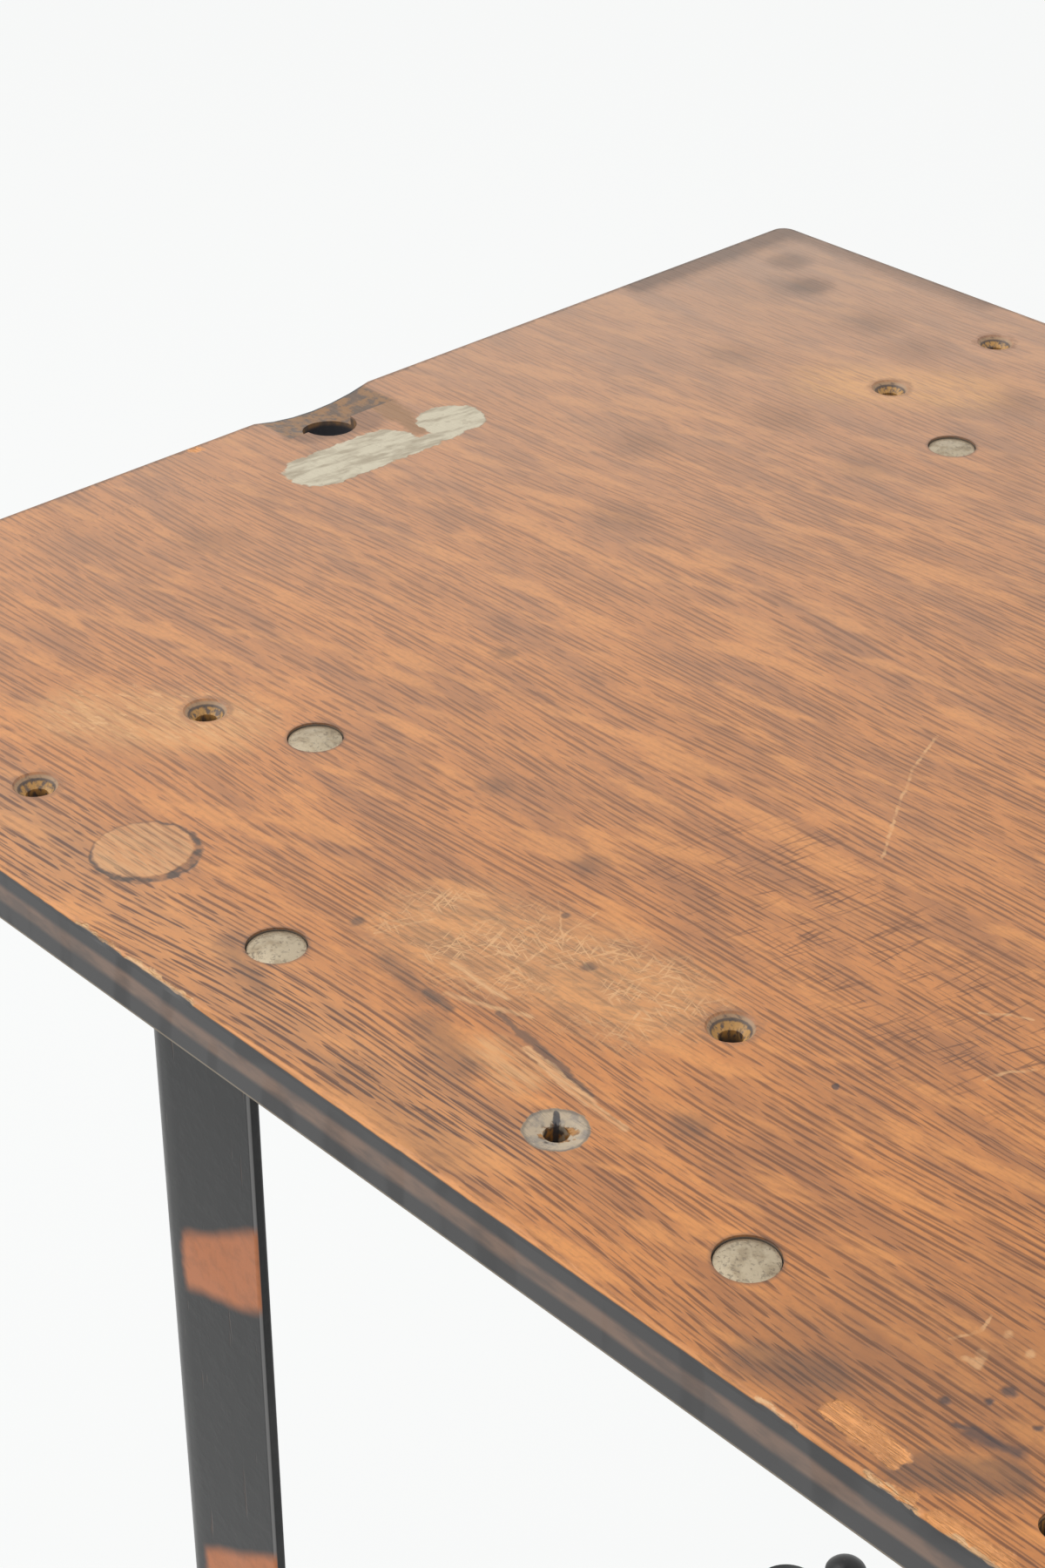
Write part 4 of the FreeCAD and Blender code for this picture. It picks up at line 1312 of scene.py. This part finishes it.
@dataclass(frozen=True)
class Dome:
    """A round low head: a ball cut off at the face that it sits on, in millimetres."""

    half_width: float
    crown: float
    segments: int = 36
    rings: int = 28

    def on(self, spot: Vector, normal: Vector, closed: bool = True) -> bpy.types.Object:
        """Make the head.

        Args:
            spot: the middle of the head on the face, in metres.
            normal: the way that the face looks.
            closed: whether it has a flat face of its own where it sits.

        Returns:
            The head.
        """
        radius = (self.half_width * self.half_width + self.crown * self.crown) / (2.0 * self.crown)
        centre = spot - normal * ((radius - self.crown) * MM)
        Bench.clear_selection()
        bpy.ops.mesh.primitive_uv_sphere_add(
            segments=self.segments, ring_count=self.rings, radius=radius * MM, location=centre
        )
        piece = bpy.context.active_object
        bpy.ops.object.transform_apply(location=True, rotation=True, scale=True)
        with Bench.editing(piece):
            bpy.ops.mesh.bisect(plane_co=spot, plane_no=normal, clear_inner=True, use_fill=closed)
        return piece


@dataclass(frozen=True)
class Dress:
    """What a finished piece wears: the body that it moves with, its material slot and its material."""

    body: str
    slot: Slot
    finish: bpy.types.Material

    def settle(self, piece: bpy.types.Object, *nodes: str) -> None:
        """Dress a finished piece and let it stand for CAD nodes.

        Args:
            piece: the piece.
            nodes: the CAD nodes that it stands for.
        """
        piece.data.materials.clear()
        piece.data.materials.append(self.finish)
        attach(piece, self.body)
        if nodes:
            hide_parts(*nodes)
        log.info("%s rides on %s with %d faces", piece.name, self.body, len(piece.data.polygons))

    def soften(self, node: str, name: str, width_mm: float, segments: int = 2) -> None:
        """Round the edges of a copy of a CAD node and let it stand for the node.

        Args:
            node: the node.
            name: the new piece's name.
            width_mm: the width of the rounding.
            segments: how many faces the rounding has.
        """
        piece = Bench.copy_of_node(node, name)
        Bench.soften(piece, width_mm, segments)
        self.settle(piece, node)


@dataclass
class DeskTop:
    """The worn oak board, with its front arris rubbed and chipped."""

    board: Board
    wear: Wear = Wear()
    smooth: float = math.radians(12.0)
    strip: float = 1.5
    cuts: tuple[int, ...] = (60, 5)
    end_gap: float = 8.0
    rubbed: float = 0.15
    ragged: float = 0.25
    fine_wave: float = 5.0
    broad_wave: float = 31.0
    broad_shift: float = 7.0
    chip_deep: float = 0.7
    chip_least: float = 0.4
    deepest: float = 0.8
    near: float = 0.01

    def depth_at(self, x: float) -> float:
        """How much of the front arris is gone.

        Args:
            x: the place along the edge, in millimetres.

        Returns:
            The depth, in millimetres, deeper where a chip is.
        """
        fine = abs(noise.noise(Vector((x / self.fine_wave, 0.0, 0.0))))
        broad = abs(noise.noise(Vector((x / self.broad_wave, self.broad_shift, 0.0))))
        depth = self.rubbed + self.ragged * (fine + broad)
        for chip in self.wear.edge_chips:
            if chip.start[0] <= x <= chip.end[0]:
                depth += self.chip_deep * (self.chip_least + fine)
        return min(depth, self.deepest * self.strip)

    def wear_arris(self, piece: bpy.types.Object) -> None:
        """Cut narrow strips on both sides of the front arris, divide them along it and press it in.

        Args:
            piece: the board.
        """
        front = -self.board.half_depth * MM
        top = self.board.top * MM
        narrow = self.strip * MM
        near = self.near * MM
        reach = (self.board.half_length - self.end_gap) * MM
        planes = [((0.0, front + narrow, 0.0), (0.0, 1.0, 0.0)), ((0.0, 0.0, top - narrow), (0.0, 0.0, 1.0))]
        planes += [((side * reach, 0.0, 0.0), (1.0, 0.0, 0.0)) for side in (-1.0, 1.0)]
        with Bench.editing(piece):
            for spot, normal in planes:
                bpy.ops.mesh.select_all(action="SELECT")
                bpy.ops.mesh.bisect(plane_co=spot, plane_no=normal)
            bpy.ops.mesh.select_mode(type="EDGE")
        lines = [(front, top), (front + narrow, top), (front, top - narrow)]
        points = piece.data.vertices
        for cuts in self.cuts:
            Bench.select_none(piece)
            for edge in piece.data.edges:
                middle = sum((points[index].co for index in edge.vertices), Vector()) / 2
                on_line = any(math.hypot(middle.y - y, middle.z - z) < near for y, z in lines)
                edge.select = on_line and abs(middle.x) < reach
            bpy.ops.object.mode_set(mode="EDIT")
            bpy.ops.mesh.subdivide(number_cuts=cuts)
            bpy.ops.object.mode_set(mode="OBJECT")
        for point in points:
            on_arris = math.hypot(point.co.y - front, point.co.z - top) < near
            if on_arris and abs(point.co.x) < reach - near:
                depth = self.depth_at(point.co.x * PER_METRE) * MM
                point.co += Vector((0.0, depth, -depth))

    def build(self, finish: bpy.types.Material) -> None:
        """Wear the board's front arris and dress it, with its shallow hollows crisp against the flat face.

        Args:
            finish: the board's material.
        """
        piece = Bench.copy_of_node("desk_top", "oak_board")
        self.wear_arris(piece)
        Bench.even_shading(piece, self.smooth)
        Dress("root", Slot.OAK, finish).settle(piece, "desk_top")


@dataclass
class CarriageBolts:
    """The bolts that hold the top, and their nuts."""

    board: Board
    half_width: float = 7.5
    crown: float = 0.75
    rim: float = 0.9
    sunk: float = 0.05
    shank: float = 3.17
    length: float = 24.0
    nut_edge: float = 0.3

    def spots(self) -> list[Spot]:
        """Where the bolts are, on all four sides."""
        return [(sx * x, sy * y) for x, y in self.board.bolts for sx in (-1, 1) for sy in (-1, 1)]

    def master(self) -> bpy.types.Object:
        """Model one bolt with the top of its head at the origin.

        Returns:
            The bolt, closed.
        """
        up = Vector((0.0, 0.0, 1.0))
        bolt = Dome(self.half_width, self.crown).on(up * (-self.crown * MM), up, closed=False)
        narrow = self.shank / self.half_width
        with Bench.editing(bolt, "DESELECT"):
            bpy.ops.mesh.select_non_manifold()
            bpy.ops.mesh.extrude_edges_move(TRANSFORM_OT_translate={"value": (0.0, 0.0, -self.rim * MM)})
            bpy.ops.mesh.extrude_edges_move()
            bpy.ops.transform.resize(value=(narrow, narrow, 1.0))
            bpy.ops.mesh.extrude_edges_move(TRANSFORM_OT_translate={"value": (0.0, 0.0, -self.length * MM)})
            bpy.ops.mesh.edge_face_add()
            bpy.ops.mesh.select_all(action="SELECT")
            bpy.ops.mesh.normals_make_consistent(inside=False)
        return bolt

    def build(self, finish: bpy.types.Material) -> None:
        """Model one bolt, copy it to every hole, and soften the nuts.

        Args:
            finish: the plated finish.
        """
        zinc = Dress("root", Slot.ZINC, finish)
        master = self.master()
        height = self.board.top - self.sunk
        copies = [Bench.copy_to(master, Vector((x, y, height)) * MM) for x, y in self.spots()]
        bpy.data.objects.remove(master)
        zinc.settle(Bench.join(copies, "carriage_bolts"), "top_bolts")
        zinc.soften("top_nuts", "hexagon_nuts", self.nut_edge)


@dataclass
class SteelFrame:
    """Rails, legs, runners, stretchers and the rivets that join them."""

    edge: float = 0.4
    runner_edge: float = 1.4
    socket_edge: float = 0.6
    rivet: Dome = Dome(4.2, 2.2)
    front_inset: Pair = (15.0, 33.0)
    side_inset: Pair = (12.5, 24.5)
    rail_height: float = 651.0
    runner_height: float = 75.0
    brace_height: float = 124.0

    def legs(self) -> list[str]:
        """The names of the legs."""
        return [f"leg_{corner.value}" for corner in Corner]

    def rivet_spots(self, low: Vector, high: Vector) -> list[tuple[Vector, Vector]]:
        """Where the rivets of one leg are.

        Args:
            low: the lowest corner of the leg's box.
            high: its highest corner.

        Returns:
            The middle of each head, and the way that it looks.
        """
        side = 1.0 if low.x > 0 else -1.0
        depth = 1.0 if low.y > 0 else -1.0
        corner = Vector((high.x if side > 0 else low.x, high.y if depth > 0 else low.y, 0.0))
        across = Vector((-side, 0.0, 0.0))
        along = Vector((0.0, -depth, 0.0))
        found = []
        for inset in self.front_inset:
            for level in (self.rail_height, self.runner_height):
                spot = corner + (across * inset + Vector((0.0, 0.0, level))) * MM
                found.append((spot, -along))
        for inset in self.side_inset:
            spot = corner + (along * inset + Vector((0.0, 0.0, self.brace_height))) * MM
            found.append((spot, -across))
        return found

    def rivets(self) -> bpy.types.Object:
        """Round rivet heads on the outside of the legs, one model for each way that they look.

        Returns:
            All of them as one piece.
        """
        heads = []
        masters = {}
        for leg in self.legs():
            for spot, normal in self.rivet_spots(*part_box(leg)):
                key = tuple(normal)
                if key not in masters:
                    masters[key] = self.rivet.on(Vector(), normal)
                heads.append(Bench.copy_to(masters[key], spot))
        for master in masters.values():
            bpy.data.objects.remove(master)
        return Bench.join(heads, "leg_rivets")

    def build(self, finish: bpy.types.Material) -> None:
        """Soften every member and add the rivets.

        Args:
            finish: the enamel.
        """
        enamel = Dress("root", Slot.ENAMEL, finish)
        rails = [f"{side}_rail" for side in ("front", "rear", "left", "right")]
        stretchers = [f"{side}_stretcher" for side in ("left", "right", "centre")]
        for node in rails + self.legs():
            enamel.soften(node, f"steel_{node}", self.edge)
        for node in ("front_runner", "rear_runner"):
            enamel.soften(node, f"steel_{node}", self.runner_edge, 3)
        for node in stretchers:
            enamel.soften(node, f"steel_{node}", self.edge)
        enamel.soften("caster_sockets", "steel_caster_sockets", self.socket_edge)
        enamel.settle(self.rivets())


@dataclass
class Caster:
    """One swivel caster: fork, axle with its riveted heads, and wheel."""

    corner: Corner
    head: Dome = Dome(5.4, 2.2)
    fork_edge: float = 0.5
    axle_edge: float = 0.2
    wheel_edge: float = 1.2

    def axle_heads(self) -> bpy.types.Object:
        """The two heads of the axle on the outside of the fork.

        Returns:
            Both as one piece.
        """
        joint = next(joint for joint in frame["joints"] if joint["name"] == f"roll_{self.corner.value}")
        middle = Vector(joint["pos_m"])
        axis = Vector(joint["axis"]).normalized()
        low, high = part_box(f"caster_axle_{self.corner.value}")
        pin_half = (high.z - low.z) / 2
        half = ((high.y - low.y) / 2 - pin_half * abs(axis.x)) / abs(axis.y)
        heads = [self.head.on(middle + axis * (half * sense), axis * sense) for sense in (1.0, -1.0)]
        return Bench.join(heads, f"axle_heads_{self.corner.value}")

    def build(self, steel: bpy.types.Material, rubber: bpy.types.Material) -> None:
        """Soften the fork, axle and wheel and add the axle's heads.

        Args:
            steel: the fork's finish.
            rubber: the wheel's finish.
        """
        place = self.corner.value
        fork = Dress(f"caster_{place}", Slot.CASTER, steel)
        fork.soften(f"caster_fork_{place}", f"fork_{place}", self.fork_edge)
        fork.soften(f"caster_axle_{place}", f"axle_{place}", self.axle_edge)
        fork.settle(self.axle_heads())
        wheel = Dress(f"wheel_{place}", Slot.RUBBER, rubber)
        wheel.soften(f"caster_wheel_{place}", f"wheel_{place}", self.wheel_edge, 3)


@dataclass
class Studio:
    """White room, soft light and the camera."""

    camera_spot: Triple = (0.2508, -0.5633, 1.098)
    azimuth: float = 46.99
    pitch: float = 31.96
    lens: float = 69.79
    sensor: float = 36.0
    clip: Pair = (0.01, 100.0)
    floor_side: float = 12.0
    floor_grey: Colour = (0.85, 0.85, 0.85)
    floor_glow: float = 0.85
    white: Colour = (0.99, 1.0, 0.995)
    fill: float = 0.62
    fill_colour: Colour = (1.0, 1.0, 1.0)
    key_power: float = 24.0
    key_spot: Triple = (-1.5, -0.7, 2.3)
    key_side: float = 1.8
    key_aim: Triple = (0.0, 0.0, 0.6)

    def camera(self) -> None:
        """The photograph's camera."""
        data = bpy.data.cameras.new("camera")
        data.lens = self.lens
        data.sensor_width = self.sensor
        data.clip_start, data.clip_end = self.clip
        camera = bpy.data.objects.new("camera", data)
        camera.location = self.camera_spot
        camera.rotation_euler = (math.radians(90.0 - self.pitch), 0.0, math.radians(self.azimuth))
        bpy.context.scene.collection.objects.link(camera)
        bpy.context.scene.camera = camera

    @staticmethod
    def seen_directly(graph: Graph) -> Value:
        """Rays that show the background: from the camera, or by a mirror or glass.

        Args:
            graph: the graph that asks.

        Returns:
            A mask that is 1 for these rays.
        """
        path = graph.node("ShaderNodeLightPath", {})
        rays = ("Is Camera Ray", "Is Glossy Ray", "Is Transmission Ray")
        return reduce(or_, [Value(graph, path.outputs[name]) for name in rays])

    @staticmethod
    def blend(graph: Graph, output: str, mask: Value, hidden: Value, shown: Value) -> None:
        """Let a surface light the desk by its hidden shader, and show by the other where the mask is 1."""
        both = graph.value("ShaderNodeMixShader", {0: mask, 1: hidden, 2: shown})
        graph.node(output, {"Surface": both})

    def room(self) -> None:
        """A world that lights evenly and shows as white."""
        world = bpy.data.worlds.new("white_room")
        bpy.context.scene.world = world
        graph = Graph(emptied(world))
        light = graph.value("ShaderNodeBackground", {"Color": self.fill_colour, "Strength": self.fill})
        shown = graph.value("ShaderNodeBackground", {"Color": self.white})
        self.blend(graph, "ShaderNodeOutputWorld", self.seen_directly(graph), light, shown)

    def floor(self) -> None:
        """A pale floor that melts into the room and keeps a faint shadow."""
        Bench.clear_selection()
        bpy.ops.mesh.primitive_plane_add(size=self.floor_side)
        floor = bpy.context.active_object
        floor.name = "floor"
        made = bpy.data.materials.new("pale_floor")
        graph = Graph(emptied(made))
        matt = graph.value("ShaderNodeBsdfDiffuse", {"Color": self.floor_grey})
        glow = graph.value("ShaderNodeEmission", {"Color": self.white})
        seen = self.seen_directly(graph) * self.floor_glow
        self.blend(graph, "ShaderNodeOutputMaterial", seen, matt, glow)
        floor.data.materials.append(made)

    def lights(self) -> None:
        """One broad soft lamp over the left end."""
        data = bpy.data.lights.new("key", "AREA")
        data.energy = self.key_power
        data.size = self.key_side
        lamp = bpy.data.objects.new("key", data)
        lamp.location = self.key_spot
        aim = Vector(self.key_aim) - lamp.location
        lamp.rotation_euler = aim.to_track_quat("-Z", "Y").to_euler()
        bpy.context.scene.collection.objects.link(lamp)

    def build(self) -> None:
        """Set the whole studio."""
        self.camera()
        self.room()
        self.floor()
        self.lights()
        bpy.context.scene.view_settings.view_transform = "Standard"
        log.info("studio is set")


def main() -> None:
    """Build the studio and every sub-assembly."""
    logging.basicConfig(level=logging.INFO, format="%(name)s: %(message)s")
    Studio().build()
    effects = Effects()
    board = Board.from_frame()
    DeskTop(board).build(OakTop(Coat("oak_top", effects), board).material())
    zinc = DullMetal(Coat("dull_zinc", effects)).material()
    CarriageBolts(board).build(zinc)
    low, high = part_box("leg_front_left")
    enamel = FlashEnamel(
        Coat("flash_enamel", effects),
        corner_x=-low.x * PER_METRE,
        corner_y=-low.y * PER_METRE,
        flange=(high.x - low.x) * PER_METRE,
        foot=low.z * PER_METRE,
        head=high.z * PER_METRE,
    )
    SteelFrame().build(enamel.material())
    steel = DullMetal(
        Coat("caster_steel", effects),
        clean=(0.33, 0.32, 0.30),
        stain=(0.13, 0.115, 0.10),
        blotch_size=12.0,
        rough=(0.35, 0.6),
    ).material()
    rubber = WheelRubber(Coat("wheel_rubber", effects)).material()
    for corner in Corner:
        Caster(corner).build(steel, rubber)


if __name__ == "__main__":
    main()
